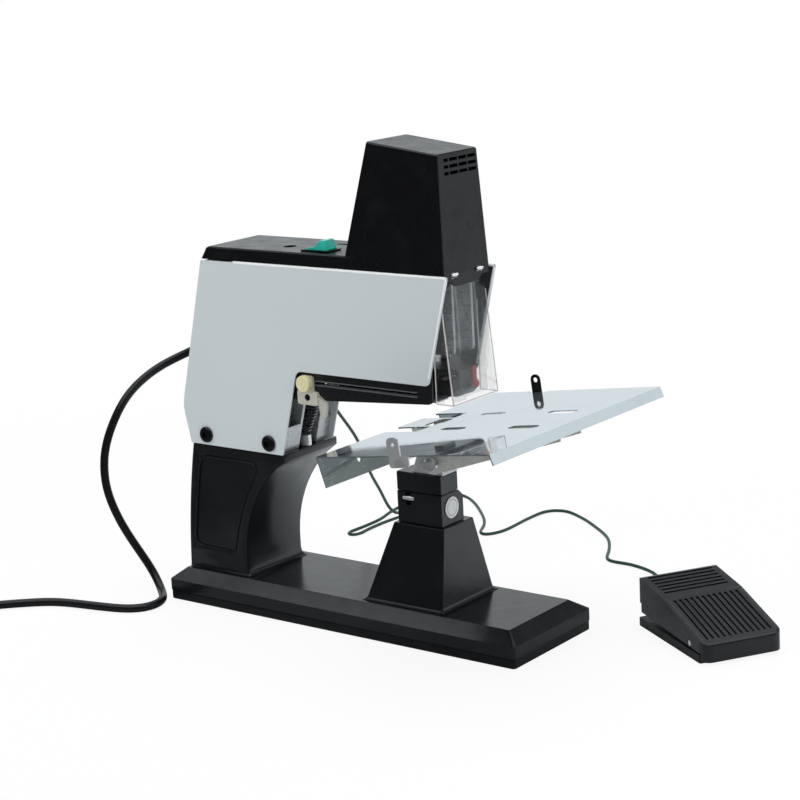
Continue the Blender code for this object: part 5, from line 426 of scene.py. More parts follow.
def jacket(name, colour, shade, low, high):
    # extruded cord jacket: cloudy tone and gloss, and a fine grain
    m = finishMaker(name)
    m.colour(m.mix(m.noise(220, 3), shade, colour))
    m.roughness(m.ramp(m.noise(160, 3), low, high, 0.3, 0.7))
    m.bump(m.noise(1400, 2), 0.00006, 0.35)
    return m.material


finishes = {
    "cast": castPaint(),
    "moulding": blackMoulding("blackMoulding", 0.24, 0.34, 1500),
    "pedalMoulding": blackMoulding("pedalMoulding", 0.26, 0.36, 700, (0.0052, 0.0060, 0.0078)),
    # painted light: the arm's moulding is the hood's black made lighter, for the light its lower face catches from
    # the floor
    "armMouldingPaintedLight": blackMoulding("armMouldingPaintedLight", 0.28, 0.40, 1500, (0.0095, 0.0100, 0.0115)),
    "glossMoulding": blackMoulding("glossMoulding", 0.16, 0.26, 2200),
    "rubber": blackMoulding("blackRubber", 0.42, 0.56, 1100),
    "panel": panelPaint("panelPaint"),
    # the side panels, with painted shade on their inner faces
    "sidePanel": panelPaint("sidePanelPaint", (-0.0337, 0.0260)),
    "zinc": platedSteel("zincSheet", (0.60, 0.62, 0.63), 0.20, 0.36, 0.6),
    "satin": platedSteel("satinZinc", (0.76, 0.765, 0.72), 0.16, 0.28, 0.45),
    "table": mirrorSheet(),
    "bright": platedSteel("brightPlating", (0.82, 0.83, 0.84), 0.06, 0.15, 0.72),
    "grey": plainMoulding("railGrey", (0.125, 0.130, 0.135), (0.095, 0.100, 0.105), 0.18, 0.30),
    "dark": platedSteel("blackenedSteel", (0.10, 0.105, 0.11), 0.26, 0.42),
    "springSteel": platedSteel("springSteel", (0.24, 0.245, 0.25), 0.16, 0.30),
    "clear": clearSheet(),
    "edge": frostedEdgeAndHighlight(),
    # painted highlight: the panels' own white made brighter, for their rolled edges
    "rim": plainMoulding("rimPaintedHighlight", (0.94, 0.95, 0.955), (0.90, 0.915, 0.92), 0.12, 0.20),
    "green": greenLens(),
    "beige": plainMoulding("ivoryMoulding", (0.80, 0.735, 0.46), (0.70, 0.64, 0.38), 0.26, 0.42),
    "stone": plainMoulding("stoneMoulding", (0.56, 0.545, 0.47), (0.47, 0.46, 0.39), 0.30, 0.44),
    "pale": plainMoulding("paleDisc", (0.72, 0.73, 0.71), (0.62, 0.63, 0.61), 0.40, 0.55),
    "red": plainMoulding("redMoulding", (0.34, 0.008, 0.018), (0.22, 0.005, 0.012), 0.14, 0.24),
    "copper": windingWire(),
    "board": boardLacquer(),
    "greenJacket": jacket("greenJacket", (0.010, 0.046, 0.034), (0.007, 0.032, 0.024), 0.34, 0.46),
    "blackJacket": jacket("blackJacket", (0.0075, 0.0075, 0.0085), (0.0050, 0.0050, 0.0060), 0.24, 0.36),
}
print("finishes made:", len(finishes))

nodeFinishes = {
    "cast": ["base_casting", "column_casting", "pedestal_casting", "anvil_block_lower", "anvil_block_upper"],
    "moulding": ["hood_shell", "switch_bezel", "mains_plug"],
    "pedalMoulding": ["pedal_treadle"],
    "armMouldingPaintedLight": ["arm_shell"],
    "glossMoulding": ["far_tab", "near_rear_screw", "near_front_screw", "far_rear_screw", "far_front_screw",
                      "pedal_switch", "pedal_jack", "nose_pin"],
    "rubber": ["base_plate", "cord_gland", "pedal_base"],
    "panel": ["rear_panel"],
    "sidePanel": ["near_side_panel", "far_side_panel"],
    "zinc": ["near_frame_plate", "far_frame_plate", "solenoid_yoke", "anvil_post", "staple_magazine",
             "pedal_socket"],
    "satin": ["table_bracket"],
    "table": ["table_plate"],
    "bright": ["near_tab", "table_wing_screw", "table_pin", "anvil", "spring_bush", "arm_pin", "pedal_pin",
               "staple_strip", "plunger", "lock_lever", "driver_blade"],
    "grey": ["rail_bar"],
    "dark": ["magazine_nose", "staple_pusher"],
    "springSteel": ["return_spring", "pedal_spring"],
    "clear": ["guard"],
    "green": ["rocker"],
    "beige": ["depth_knob", "stop_finger"],
    "stone": ["depth_stop"],
    "pale": ["front_disc"],
    "red": ["release_lever"],
    "copper": ["solenoid_coil"],
    "board": ["control_board"],
    "greenJacket": ["pedal_cable"],
    "blackJacket": ["mains_cord", "mains_coil"],
}
for finish, names in nodeFinishes.items():
    for name in names:
        for slot in nodes[name].material_slots:
            slot.material = finishes[finish]
print("nodes without a finish:", sorted(set(nodes).difference(*nodeFinishes.values())))

mainsSettings = {
    "diameter": 0.0068, "lift": 0.0001, "points": 110, "passes": 9,
    "start": (-0.170550, 0.012, 0.195108),
    "away": (-0.969210, 0.0, 0.246235),
    "fall": [(-0.1880, 0.0085, 0.1916), (-0.1970, 0.0000, 0.1870), (-0.2039, -0.0100, 0.1821),
             (-0.2090, -0.0220, 0.1753), (-0.2125, -0.0340, 0.1674), (-0.2142, -0.0475, 0.1556),
             (-0.2190, -0.0610, 0.1300), (-0.2210, -0.0649, 0.1095), (-0.2200, -0.0645, 0.0869),
             (-0.2140, -0.0582, 0.0603), (-0.2060, -0.0501, 0.0378), (-0.1950, -0.0447, 0.0179),
             (-0.1872, -0.0462, 0.0076), (-0.1788, -0.0518, 0.0037)],
    "floor": [(-0.1710, -0.0583), (-0.1635, -0.0670), (-0.1608, -0.0775), (-0.1632, -0.0880), (-0.1710, -0.0955),
              (-0.1840, -0.1000), (-0.2050, -0.1045), (-0.2415, -0.1130), (-0.2646, -0.1307), (-0.2776, -0.1420),
              (-0.2880, -0.1580)],
    "coilCentre": (-0.3420, -0.1720), "coilOuter": 0.0440, "coilPitch": 0.0073,
    "coilTurns": 2,              # inwards, and as many outwards over them
    "entryAngle": math.radians(-20), "entryGap": 0.0003,
    "tail": 0.0420, "plugHeight": 0.0150,
    "blades": 0.0382,            # where the plug's plated blades begin, from the end of the lead
}
cableSettings = {
    "diameter": 0.0028, "lift": 0.0001, "points": 420, "passes": 5,
    "start": (-0.1200, 0.0469, 0.16505),
    "end": (0.210712, 0.105512, 0.0098),
    "inward": (0.84712, -0.53140, 0.0),
    "drop": [(-0.1205, 0.0620, 0.1640), (-0.1235, 0.0980, 0.1470), (-0.1280, 0.1285, 0.1176),
             (-0.1340, 0.1568, 0.0882), (-0.1410, 0.1796, 0.0538), (-0.1460, 0.1985, 0.0318),
             (-0.1490, 0.2135, 0.0120), (-0.1510, 0.2280, 0.0018)],
    "floor": [(-0.1525, 0.2500), (-0.1500, 0.2660), (-0.1430, 0.2700), (-0.1380, 0.2610), (-0.1400, 0.2350),
              (-0.1440, 0.2050), (-0.1435, 0.1750), (-0.1415, 0.1630), (-0.1440, 0.1555), (-0.1500, 0.1545),
              (-0.1535, 0.1620), (-0.1525, 0.1750), (-0.1535, 0.2050), (-0.1600, 0.2300), (-0.1630, 0.2550),
              (-0.1620, 0.2800), (-0.1560, 0.3030), (-0.1330, 0.3050), (-0.1090, 0.2900), (-0.0775, 0.2590),
              (-0.0600, 0.2370), (-0.0490, 0.2150), (-0.0410, 0.2110), (-0.0330, 0.2290), (-0.0350, 0.2700),
              (-0.0330, 0.2970), (-0.0180, 0.3050), (0.0040, 0.2950), (0.0250, 0.2810), (0.0576, 0.2540),
              (0.0767, 0.2270), (0.0905, 0.2010), (0.1010, 0.1972), (0.1180, 0.1970), (0.1450, 0.1860),
              (0.1650, 0.1630), (0.1840, 0.1350)],
    "rise": [(0.1960, 0.1180, 0.0045)],
}


def cubicSpan(a, b, c, d, t):
    # cubic from b to c, with half of c - a and half of d - b as its slopes there
    return 0.5 * (2 * b + (c - a) * t + (2 * a - 5 * b + 4 * c - d) * t ** 2 + (3 * b - a - 3 * c + d) * t ** 3)


def curveThrough(route, count, passes):
    # cubic through neighbouring points, resampled to even steps, then each inner point is moved `passes` times
    # halfway to the mean of its neighbours; the first and last steps stay straight
    knots = np.array(route, float)
    t = np.linspace(0, 1, 24, endpoint=False)[:, None]
    spans = [cubicSpan(*four, t) for four in zip(knots, knots[1:], knots[2:], knots[3:])]
    dense = np.vstack(spans + [knots[-2:-1]])
    walked = distanceAlong(dense)
    even = np.linspace(0, walked[-1], count - 2)
    middle = np.stack([np.interp(even, walked, dense[:, axis]) for axis in range(3)], axis=1)
    for _ in range(passes):
        middle[1:-1] = (middle[:-2] + 2 * middle[1:-1] + middle[2:]) / 4
    return np.vstack([knots[:1], middle, knots[-1:]])


def lineLength(points):
    return float(distanceAlong(points)[-1])


def mainsPath(s):
    # the fall and floor stretch, then a spiral inwards on the floor and outwards over it, then a short tail
    floor = s["diameter"] / 2 + s["lift"]
    start, away = np.array(s["start"]), np.array(s["away"])
    turns = np.linspace(0, 2 * s["coilTurns"], 2 * s["coilTurns"] * 48 + 1)
    radius = s["coilOuter"] - s["coilPitch"] * (s["coilTurns"] - np.abs(turns - s["coilTurns"]))
    climb = np.clip((turns - s["coilTurns"]) * 2 + 0.5, 0, 1)
    climb = climb * climb * (3 - 2 * climb)
    angle = s["entryAngle"] - 2 * math.pi * turns
    loops = np.stack([s["coilCentre"][0] + radius * np.cos(angle), s["coilCentre"][1] + radius * np.sin(angle),
                      floor + s["coilPitch"] * climb], -1)
    heading = np.array([math.sin(s["entryAngle"]), -math.cos(s["entryAngle"]), 0])
    entry = loops[0] - heading * s["diameter"]
    route = [start, start + away * s["diameter"], *s["fall"], *((x, y, floor) for x, y in s["floor"])]
    route += [entry - heading * (s["entryGap"] + s["diameter"]), entry - heading * s["entryGap"]]
    first = curveThrough(route, s["points"], s["passes"])
    share = np.linspace(0, 1, 6)[1:, None]
    ease = share * share * (3 - 2 * share)
    down = np.array((0, 0, loops[-1][2] - s["plugHeight"] / 2))
    tail = loops[-1] + heading * (s["tail"] - s["diameter"]) * share - down * ease
    end = tail[-1] + heading * s["diameter"]
    return np.vstack([first, entry, loops, tail, end]), end, heading


def cablePath(s):
    # straight out of the panel, down, a slack fold on the floor, then along to the pedal
    start, end, inward = (np.array(s[key]) for key in ("start", "end", "inward"))
    route = [start, start + (0, s["diameter"], 0), *s["drop"]]
    route += [(x, y, s["diameter"] / 2 + s["lift"]) for x, y in s["floor"]]
    route += [*s["rise"], end - inward * s["diameter"], end]
    line = curveThrough(route, s["points"], s["passes"])
    line[:, 2] = np.maximum(line[:, 2], s["diameter"] / 2)
    return line


mainsLine, plugStart, plugHeading = mainsPath(mainsSettings)
mainsLead = tubePiece("mainsLead", mainsLine, mainsSettings["diameter"] / 2, finishes["blackJacket"], 20,
                      replaced=("mains_cord", "mains_coil"))
print("mains lead in metres:", round(lineLength(mainsLine), 3))

cableLine = cablePath(cableSettings)
pedalCable = tubePiece("pedalCable", cableLine, cableSettings["diameter"] / 2, finishes["greenJacket"], 12,
                       replaced=("pedal_cable",))
print("pedal cable in metres:", round(lineLength(cableLine), 3))


studioSettings = {
    "lamps": {                   # place, aim, size and power
        "topBox": ((0.1, 0.1, 1.6), (0.0, 0.0, 0.1), (1.6, 1.4), 20),
        "keyBox": ((-0.9, -1.9, 1.0), (0.0, 0.0, 0.15), (1.0, 1.2), 13),
        "fillBox": ((1.9, -0.6, 0.8), (0.0, 0.0, 0.12), (0.9, 1.2), 8),
        "backBox": ((-0.3, 1.9, 1.1), (0.0, 0.0, 0.2), (1.8, 0.9), 9),
    },
    "worldDiffuse": 0.34,        # soft light from everywhere
    "roomFront": 0.025,          # what gloss shows of the room in front of the object
    "roomBack": 0.88,            # and of the pale wall behind it
    "roomTurn": (-0.35, 0.45),   # how far to the back one turns into the other
    "roomAbove": 0.10,           # share of these that is left high up, over the wall's top
    "wallTop": (0.32, 0.62),     # sines of the heights between which the wall ends
    "ceiling": 1.15,             # brightness straight above, which rounded edges catch as fine light lines
    "ceilingRim": (0.66, 0.78),  # sines of the heights between which it begins
    "tint": (0.925, 0.975, 1.0),  # the room's cool cast
    "floorHalf": 9.0, "floorHeight": -0.0004,
    "floorTone": (0.86, 0.87, 0.875),
    "floorOwnLight": 0.90,       # the floor's own white near the object, seen by the camera alone
    "floorFront": 0.07,          # how much of the floor in front shows in gloss
    "floorBack": 0.90,           # and of the floor behind
    "floorTurn": (-0.30, 0.35),  # the metres between which one turns into the other
    "paleRadius": (0.35, 1.1),   # the floor turns wholly white between these distances, in metres
}


def areaLight(name, place, aim, size, power):
    data = bpy.data.lights.new(name, "AREA")
    data.shape = "RECTANGLE"
    data.size, data.size_y = size
    data.energy = power
    lamp = newObject(name, data)
    lamp.location = place
    lamp.rotation_euler = (Vector(aim) - Vector(place)).to_track_quat("-Z", "Y").to_euler()
    lamp.visible_glossy = False        # it gives light without showing as a patch in black gloss


def makeWorld(s):
    # camera and transmission rays see white; gloss sees a dim room in front, a pale wall behind and a bright ceiling
    world = bpy.data.worlds.new("studioWorld")
    bpy.context.scene.world = world
    world.use_nodes = True
    t = nodeTree(world.node_tree)
    path = t.new("LightPath").outputs
    way = t.new("SeparateXYZ", Vector=t.new("TexCoord").outputs["Generated"]).outputs
    wall = t.ramp(way["Y"], s["roomFront"], s["roomBack"], *s["roomTurn"], "SMOOTHSTEP")
    below = t.ramp(way["Z"], 1.0, s["roomAbove"], *s["wallTop"], "SMOOTHSTEP")
    ceiling = t.ramp(way["Z"], 0.0, s["ceiling"], *s["ceilingRim"], "SMOOTHSTEP")
    room = t.maths("ADD", t.maths("MULTIPLY", wall, below), ceiling)
    seen = t.maths("MAXIMUM", path["Is Camera Ray"], path["Is Transmission Ray"])
    gloss = t.new("Mix", Factor=path["Is Glossy Ray"], A=s["worldDiffuse"], B=room).outputs["Result"]
    light = t.new("Mix", Factor=seen, A=gloss, B=1.0).outputs["Result"]
    back = t.new("Background", Strength=light, Color=t.mix(seen, s["tint"], (1, 1, 1)))
    t.new("OutputWorld", Surface=back.outputs[0])


def makeFloor(s):
    # a white floor that shows part of its own light to the camera, more of it far out, and keeps the shadow
    half, z = s["floorHalf"], s["floorHeight"]
    mesh = bpy.data.meshes.new("studioFloor")
    mesh.from_pydata([(-half, -half, z), (half, -half, z), (half, half, z), (-half, half, z)], [], [(0, 1, 2, 3)])
    material = bpy.data.materials.new("studioFloor")
    material.use_nodes = True
    t = nodeTree(material.node_tree)
    path, where = t.new("LightPath").outputs, t.new("TexCoord").outputs["Object"]
    length = t.maths("LENGTH", where, kind="VectorMath")
    far = t.ramp(length, s["floorOwnLight"], 1.0, *s["paleRadius"], "SMOOTHSTEP")
    seen = t.maths("MAXIMUM", path["Is Camera Ray"], path["Is Transmission Ray"])
    band = t.ramp(t.new("SeparateXYZ", Vector=where).outputs["Y"], s["floorFront"], s["floorBack"], *s["floorTurn"],
                  "SMOOTHSTEP")
    cool = t.maths("MULTIPLY", s["tint"], band, kind="VectorMath", output="Vector")
    lit = t.new("BsdfDiffuse", Color=t.mix(path["Is Glossy Ray"], s["floorTone"], cool))
    both = t.new("MixShader")
    own = t.new("Emission").outputs[0]
    for socket, value in zip(both.inputs, (t.maths("MULTIPLY", seen, far), lit.outputs[0], own)):
        t.feed(socket, value)
    t.new("OutputMaterial", Surface=both.outputs[0])
    mesh.materials.append(material)
    newObject("studioFloor", mesh)


for name, values in studioSettings["lamps"].items():
    areaLight(name, *values)
makeWorld(studioSettings)
makeFloor(studioSettings)
bpy.context.scene.view_settings.view_transform = "Standard"
print("studio set")

screwSettings = {
    "head": 0.00648, "height": 0.0032, "shank": 0.0024,
    "socket": 0.0023,            # half the distance between the flats
    "depth": 0.0022, "chamfer": 0.0003,
    "rim": 1.28,                 # the dome's inner radius, in sockets
    "flank": 0.0008, "dip": 0.0001, "ease": 0.0002,
    "segments": 48,
}


def socketScrew(node, side, s):
    # round profile of a button head; the rows of the socket have the radius of a hexagon:
    # flats / cos(angle - nearest multiple of 60 degrees)
    low, high, centre = nodeBox(node)
    head, top, bottom, brim = s["head"], s["height"], s["height"] - s["depth"], s["height"] - s["chamfer"]
    centre[1] = (low[1] if side < 0 else high[1]) - side * top
    end = s["ease"] - (high[1] - low[1] - top)
    rim = s["socket"] * s["rim"]
    dome = [(rim + (head - rim) * math.sin(x), s["flank"] + (top - s["flank"] - s["dip"]) * math.cos(x))
            for x in np.linspace(0, math.pi / 2, 9)]
    rows = [(0.0, bottom), (s["socket"], bottom), (s["socket"], brim), (rim, top), *dome, (head, s["ease"]),
            (head - s["ease"], 0.0), (s["shank"], 0.0), (s["shank"], end), (0.0, end)]
    hexagon = 1 / np.cos((fullTurn(s["segments"]) + math.pi / 6) % (math.pi / 3) - math.pi / 6)
    turnedPiece(node.replace("_", "") + "Socket", rows, (0, side, 0), centre, finishes["glossMoulding"],
                s["segments"], slice(1, 3), hexagon, smooth=30, replaced=(node,))


for node, side in (("near_rear_screw", -1), ("near_front_screw", -1), ("far_rear_screw", 1), ("far_front_screw", 1)):
    socketScrew(node, side, screwSettings)
print("screws made")

reliefSettings = {
    "axis": mainsSettings["away"], "end": mainsSettings["start"],
    "length": 0.0240,
    "collar": [(0.0, -0.0057), (0.0060, -0.0057), (0.0060, 0.0004), (0.0081, 0.0004), (0.0084, 0.0008),
               (0.0084, 0.0022), (0.0079, 0.0028), (0.0074, 0.0030), (0.0072, 0.0046)],
    "neck": 0.0070, "tip": 0.0046, "tipEase": 0.0004, "mouth": 0.0035,
    "ribs": 6, "ribDepth": 0.0011,
    "ribStart": 0.0050, "ribEnd": 0.0224,
}


def makeRelief(s):
    # radius falls evenly from the collar to the tip, less the rib depth times a raised cosine between ribs
    along = np.linspace(s["ribStart"], s["ribEnd"], 74)
    share = (along - along[0]) / (along[-1] - along[0])
    wave = 0.5 - 0.5 * np.cos(2 * math.pi * s["ribs"] * share)
    sleeve = s["neck"] + (s["tip"] - s["neck"]) * share - s["ribDepth"] * np.clip(wave * 1.6 - 0.3, 0, 1)
    end, ease = s["length"], s["tipEase"]
    profile = s["collar"] + list(zip(sleeve, along))
    profile += [(s["tip"], end - 2 * ease), (s["tip"] - ease, end), (s["mouth"], end), (0.0, end - 1.5 * ease)]
    centre = np.array(s["end"]) - np.array(s["axis"]) * end
    turnedPiece("leadRelief", profile, s["axis"], centre, finishes["rubber"], 56, smooth=42, replaced=("cord_gland",))


makeRelief(reliefSettings)
print("strain relief made")

knobSettings = {
    "radius": 0.00648, "height": 0.0052, "gap": 0.0003,
    "lip": 0.0009,
    "dish": 0.0006, "dishShape": [(0.0, 1.0), (0.55, 0.9), (0.74, 0.4)],  # shares of the radius and of the depth
    "teeth": 36, "toothDepth": 0.00016,
    "foot": 0.0011, "footEase": 0.0004,
    "bore": 0.0012, "boreDepth": 0.0034,
    "segments": 144,
}


def makeDepthKnob(s):
    # round profile with a rounded lip and a shallow dish; the flank's radius ripples by a cosine of the angle
    _, high, centre = nodeBox("depth_knob")
    centre[1] = high[1] + s["gap"]
    base, top, r, lip = s["gap"], s["height"] + s["gap"], s["radius"], s["lip"]
    rows = [(r * out, top - s["dish"] * deep) for out, deep in s["dishShape"]]
    rows += [(r - lip + lip * math.sin(x), top - lip + lip * math.cos(x)) for x in np.linspace(0, math.pi / 2, 6)]
    rows += [(r, base + s["foot"]), (r - s["footEase"], base), (s["bore"], base), (s["bore"], s["boreDepth"]),
             (0.0, s["boreDepth"])]
    ripple = 1 - s["toothDepth"] / r * (0.5 - 0.5 * np.cos(s["teeth"] * fullTurn(s["segments"])))
    turnedPiece("depthKnob", rows, (0, -1, 0), centre, finishes["beige"], s["segments"], slice(6, 10), ripple,
                body="depth_turner", smooth=40, replaced=("depth_knob",))


makeDepthKnob(knobSettings)

fingerSettings = {
    "outline": [(-0.0142, 0.1818), (-0.0141, 0.1815), (-0.0105, 0.1790), (-0.0060, 0.1763), (-0.0057, 0.1757),
                (-0.0058, 0.1720), (-0.0070, 0.1660), (-0.0086, 0.1638), (-0.0106, 0.1636), (-0.0124, 0.1662),
                (-0.0136, 0.1700), (-0.0141, 0.1735), (-0.0142, 0.1738)],
    "near": -0.0342, "far": -0.0318,
    "faces": [(0.10, 0.0), (0.03, 0.10), (0.0, 0.28), (0.0, 0.72), (0.03, 0.90), (0.10, 1.0)],  # drawn in, how deep
}


def makeFinger(s):
    # blade: the outline, rounded by a closed curve, carried through the thickness and drawn in at both faces
    corners = np.array(s["outline"])
    t = np.linspace(0, 1, 7, endpoint=False)[None, :, None]
    line = cubicSpan(*(np.roll(corners, step, 0)[:, None] for step in (1, 0, -1, -2)), t).reshape(-1, 2)
    rows = [np.insert(line + (line.mean(0) - line) * inset, 1, s["near"] + (s["far"] - s["near"]) * place, axis=1)
            for inset, place in s["faces"]]
    gridPiece("stopFinger", np.array(rows), finishes["stone"], body="depth_slider", smooth=50,
              replaced=("stop_finger",))


makeFinger(fingerSettings)
print("depth stop dressed")

# a black ring as painted shade in the depth stop's hole
holeShadeSettings = {"centre": (-0.0245, -0.0342, 0.1788), "radius": 0.0027, "depth": 0.0012}


def makeStopHoleShade(s):
    # painted shade for the stop's hole: a black rounded ring about a deep dished middle, which makes the hole look
    # bigger and darker
    r, d = s["radius"], s["depth"]
    rows = [(0.0, -d * 0.8), (r * 0.45, -d * 0.7), (r * 0.62, -d * 0.1), (r * 0.78, d * 0.22), (r * 0.94, d * 0.12),
            (r, -d * 0.1), (r * 0.98, -d), (0.0, -d)]
    turnedPiece("stopHoleShade", rows, (0, -1, 0), s["centre"], finishes["glossMoulding"], 36, smooth=50,
                body="depth_slider")


makeStopHoleShade(holeShadeSettings)

railSettings = {
    "rear": -0.0285, "front": 0.0795, "height": 0.1902, "face": -0.0318,
    "lips": 0.0017, "lipRadius": 0.00055,
    "marks": 9, "firstMark": -0.0029, "markPitch": 0.0082, "markHeight": (0.1840, 0.1860), "markHalf": 0.00035,
}


def makeRail(s):
    # two light bead lines along the slot's edges, then a row of low marks on the cheek under it
    for label, rise in (("upper", s["lips"]), ("lower", -s["lips"])):
        path = np.linspace(*((x, s["face"] + 0.0002, s["height"] + rise) for x in (s["rear"], s["front"])), 24)
        tubePiece(label + "RailBead", path, s["lipRadius"], finishes["grey"], 10, body="arm")
    half, (low, high) = s["markHalf"], s["markHeight"]
    box = ((0, 1, 5, 4), (1, 2, 6, 5), (2, 3, 7, 6), (3, 0, 4, 7), (4, 5, 6, 7), (3, 2, 1, 0))
    verts, faces = [], []
    for place in s["firstMark"] + s["markPitch"] * np.arange(s["marks"]):
        start = len(verts)
        left, right = place - half, place + half
        for y in (s["face"] + 0.0003, s["face"] - 0.0001):
            verts += [(left, y, low), (right, y, low), (right, y, high), (left, y, high)]
        faces += [[start + i for i in quad] for quad in box]
    newPiece("railMarks", verts, faces, finishes["rubber"], body="arm")


makeRail(railSettings)

rimSettings = {
    "radius": 0.0011,
    "line": [(-0.0905, 0.2791), (0.1123, 0.2791), (0.0924, 0.2040)],
    "near": -0.0339, "far": 0.0263,
    "bend": 0.0022,
}


def makeRims(s):
    # the panels' rolled edges: a bead along the top and down the slanted front, its corner eased; its white is
    # brighter than the panels', as a painted highlight
    eased = softProfile(np.insert(s["line"], 1, 0, axis=1), s["bend"], 6)
    path = np.vstack([np.linspace(*eased[:2], 30)[:-1], eased[1:-1], np.linspace(*eased[-2:], 30)[1:]])
    for label in ("near", "far"):
        tubePiece(label + "PanelRim", path + (0, s[label], 0), s["radius"], finishes["rim"], 12)


makeRims(rimSettings)
print("panel rims made")

guardSettings = {
    "lowX": 0.1130, "topX": 0.1038, "lowZ": 0.1854, "topZ": 0.2797,
    "near": -0.0329, "far": 0.0235, "rear": 0.0972,
    "foldTop": 0.2620, "innerTop": 0.2560, "rearTop": 0.2536,
    "sheet": 0.0012, "edge": 0.00042,
    "inner": (3.2, 3.6),         # the inner line's distances from the near fold, in radii of a bead
    "tongues": (-0.0213, 0.0097), "tongueHalf": 0.0036, "tongueTall": 0.0012, "tongueX": 0.1113, "tongueZ": 0.2799,
    "tonguePower": 2.6,
    "tongueRows": [(0.86, -0.0012), (1.0, -0.0008), (1.0, 0.0), (0.9, 0.0004), (0.6, 0.0006)],  # size, how far out
}


def makeGuardEdges(s):
    # straight beads in the folds and along the cut edges, a little inside the sheet's outline
    slope = (s["topX"] - s["lowX"]) / (s["topZ"] - s["lowZ"])
    low, front, rear, inset, half = s["lowZ"], s["lowX"], s["rear"], s["edge"], s["sheet"] / 2
    near, far = s["near"] + half, s["far"] - half

    def rising(back, y, top):
        return (front - back, y, low), (front + slope * (top - low) - back, y, top)

    lines = {
        "nearFold": rising(inset, s["near"] + inset, s["foldTop"]),
        "nearFoldInner": rising(s["inner"][0] * inset, s["near"] + s["inner"][1] * inset, s["innerTop"]),
        "farFold": rising(inset, s["far"] - inset, s["foldTop"]),
        "nearRear": ((rear, near, low), (rear, near, s["rearTop"])),
        "farRear": ((rear, far, low), (rear, far, s["rearTop"])),
        "frontFoot": ((front - half, s["near"] + inset, low), (front - half, s["far"] - inset, low)),
        "nearFoot": ((rear, near, low), (front, near, low)),
        "farFoot": ((rear, far, low), (front, far, low)),
    }
    for label, ends in lines.items():
        # pale beads on the edges and folds: partly frosted cut edges, partly a painted highlight
        tubePiece("guardEdge_" + label, np.linspace(*ends, 14), inset, finishes["edge"], 10, body="guard_flap")


def makeTongues(s):
    # the hooked tongues' ends: a flat lozenge with round ends, |y|^n + |z|^n = 1, swelling outwards
    angle = fullTurn(40)
    wide, tall = (np.sign(x) * np.abs(x) ** (2 / s["tonguePower"]) for x in (np.cos(angle), np.sin(angle)))
    for label, y in zip(("near", "far"), s["tongues"]):
        rows = [np.stack([np.full(40, s["tongueX"] + out), y + s["tongueHalf"] * size * wide,
                          s["tongueZ"] + s["tongueTall"] * size * tall], -1) for size, out in s["tongueRows"]]
        # in the rims' brighter white, a painted highlight
        gridPiece(label + "Tongue", np.array(rows), finishes["rim"], body="guard_flap", smooth=60)


makeGuardEdges(guardSettings)
makeTongues(guardSettings)
print("guard edges made")

springSettings = {
    "return_spring": {"piece": "returnSpring", "foot": (-0.0592, 0.0010), "top": (-0.0458, 0.0010),
                      "radii": (0.0042, 0.0056), "wire": 0.0016, "turns": 11, "joint": "arm_hinge", "keep": 0.78},
    "pedal_spring": {"piece": "pedalSpring", "foot": (0.228798, 0.094168), "top": (0.228798, 0.094168),
                     "radii": (0.0045, 0.0045), "wire": 0.0012, "turns": 5, "joint": "treadle_hinge", "keep": 0.84},
}


def makeSpring(node, s):
    # coil: the axis point plus a circle across the axis, its radius growing evenly
    low, high, _ = nodeBox(node)
    foot, top = (np.array((*s[key], 0.0)) for key in ("foot", "top"))
    lean = (top[0] - foot[0]) / (high[2] - low[2])
    foot[2] = low[2] + s["wire"] / 2 + s["radii"][0] * lean
    top[2] = high[2] - s["wire"] / 2 - s["radii"][1] * lean
    axis = (top - foot) / np.linalg.norm(top - foot)
    side = np.cross(axis, (0, 1, 0))
    side = side / np.linalg.norm(side)
    other = np.cross(axis, side)
    share = np.linspace(0, 1, s["turns"] * 24 + 1)[:, None]
    angle = 2 * math.pi * s["turns"] * share
    radius = s["radii"][0] + (s["radii"][1] - s["radii"][0]) * share
    line = foot + (top - foot) * share + radius * (np.cos(angle) * side + np.sin(angle) * other)
    coil = tubePiece(s["piece"], line, s["wire"] / 2, finishes["springSteel"], 12, replaced=(node,))
    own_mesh(coil)


for node, values in springSettings.items():
    makeSpring(node, values)
print("springs made")

beadSettings = {
    "line": [(-0.1420, 0.1195), (-0.0925, 0.1199), (-0.0838, 0.1190), (-0.0820, 0.1150), (-0.0869, 0.1064),
             (-0.0957, 0.0909), (-0.1023, 0.0742), (-0.1076, 0.0576), (-0.1111, 0.0425), (-0.1545, 0.0440)],
    "face": 0.0343, "radius": 0.0007, "steps": 9,
}


def makeColumnBeads(s):
    # raised line on each cheek of the column: a closed run through the corners, evenly divided, then each point moved
    # twice halfway to the mean of its neighbours, as a thin round bead half sunk in the face
    corners = np.array(s["line"] + s["line"][:1])
    ring = np.vstack([np.linspace(a, b, s["steps"], endpoint=False) for a, b in zip(corners, corners[1:])])
    for _ in range(2):
        ring = (np.roll(ring, 1, 0) + 2 * ring + np.roll(ring, -1, 0)) / 4
    ring = np.vstack([ring, ring[:2]])
    for name, side in (("nearColumnBead", -1), ("farColumnBead", 1)):
        tubePiece(name, np.insert(ring, 1, side * s["face"], axis=1), s["radius"], finishes["cast"], 12)


makeColumnBeads(beadSettings)

treadleSettings = {
    "place": (0.2576, 0.0761), "yaw": math.radians(-32.1),
    "crest": (-0.0070, 0.0319), "front": (0.05145, 0.0150),
    "side": 0.0324, "corner": 0.0075,
    "radius": 0.0019, "proud": 0.0002,
}


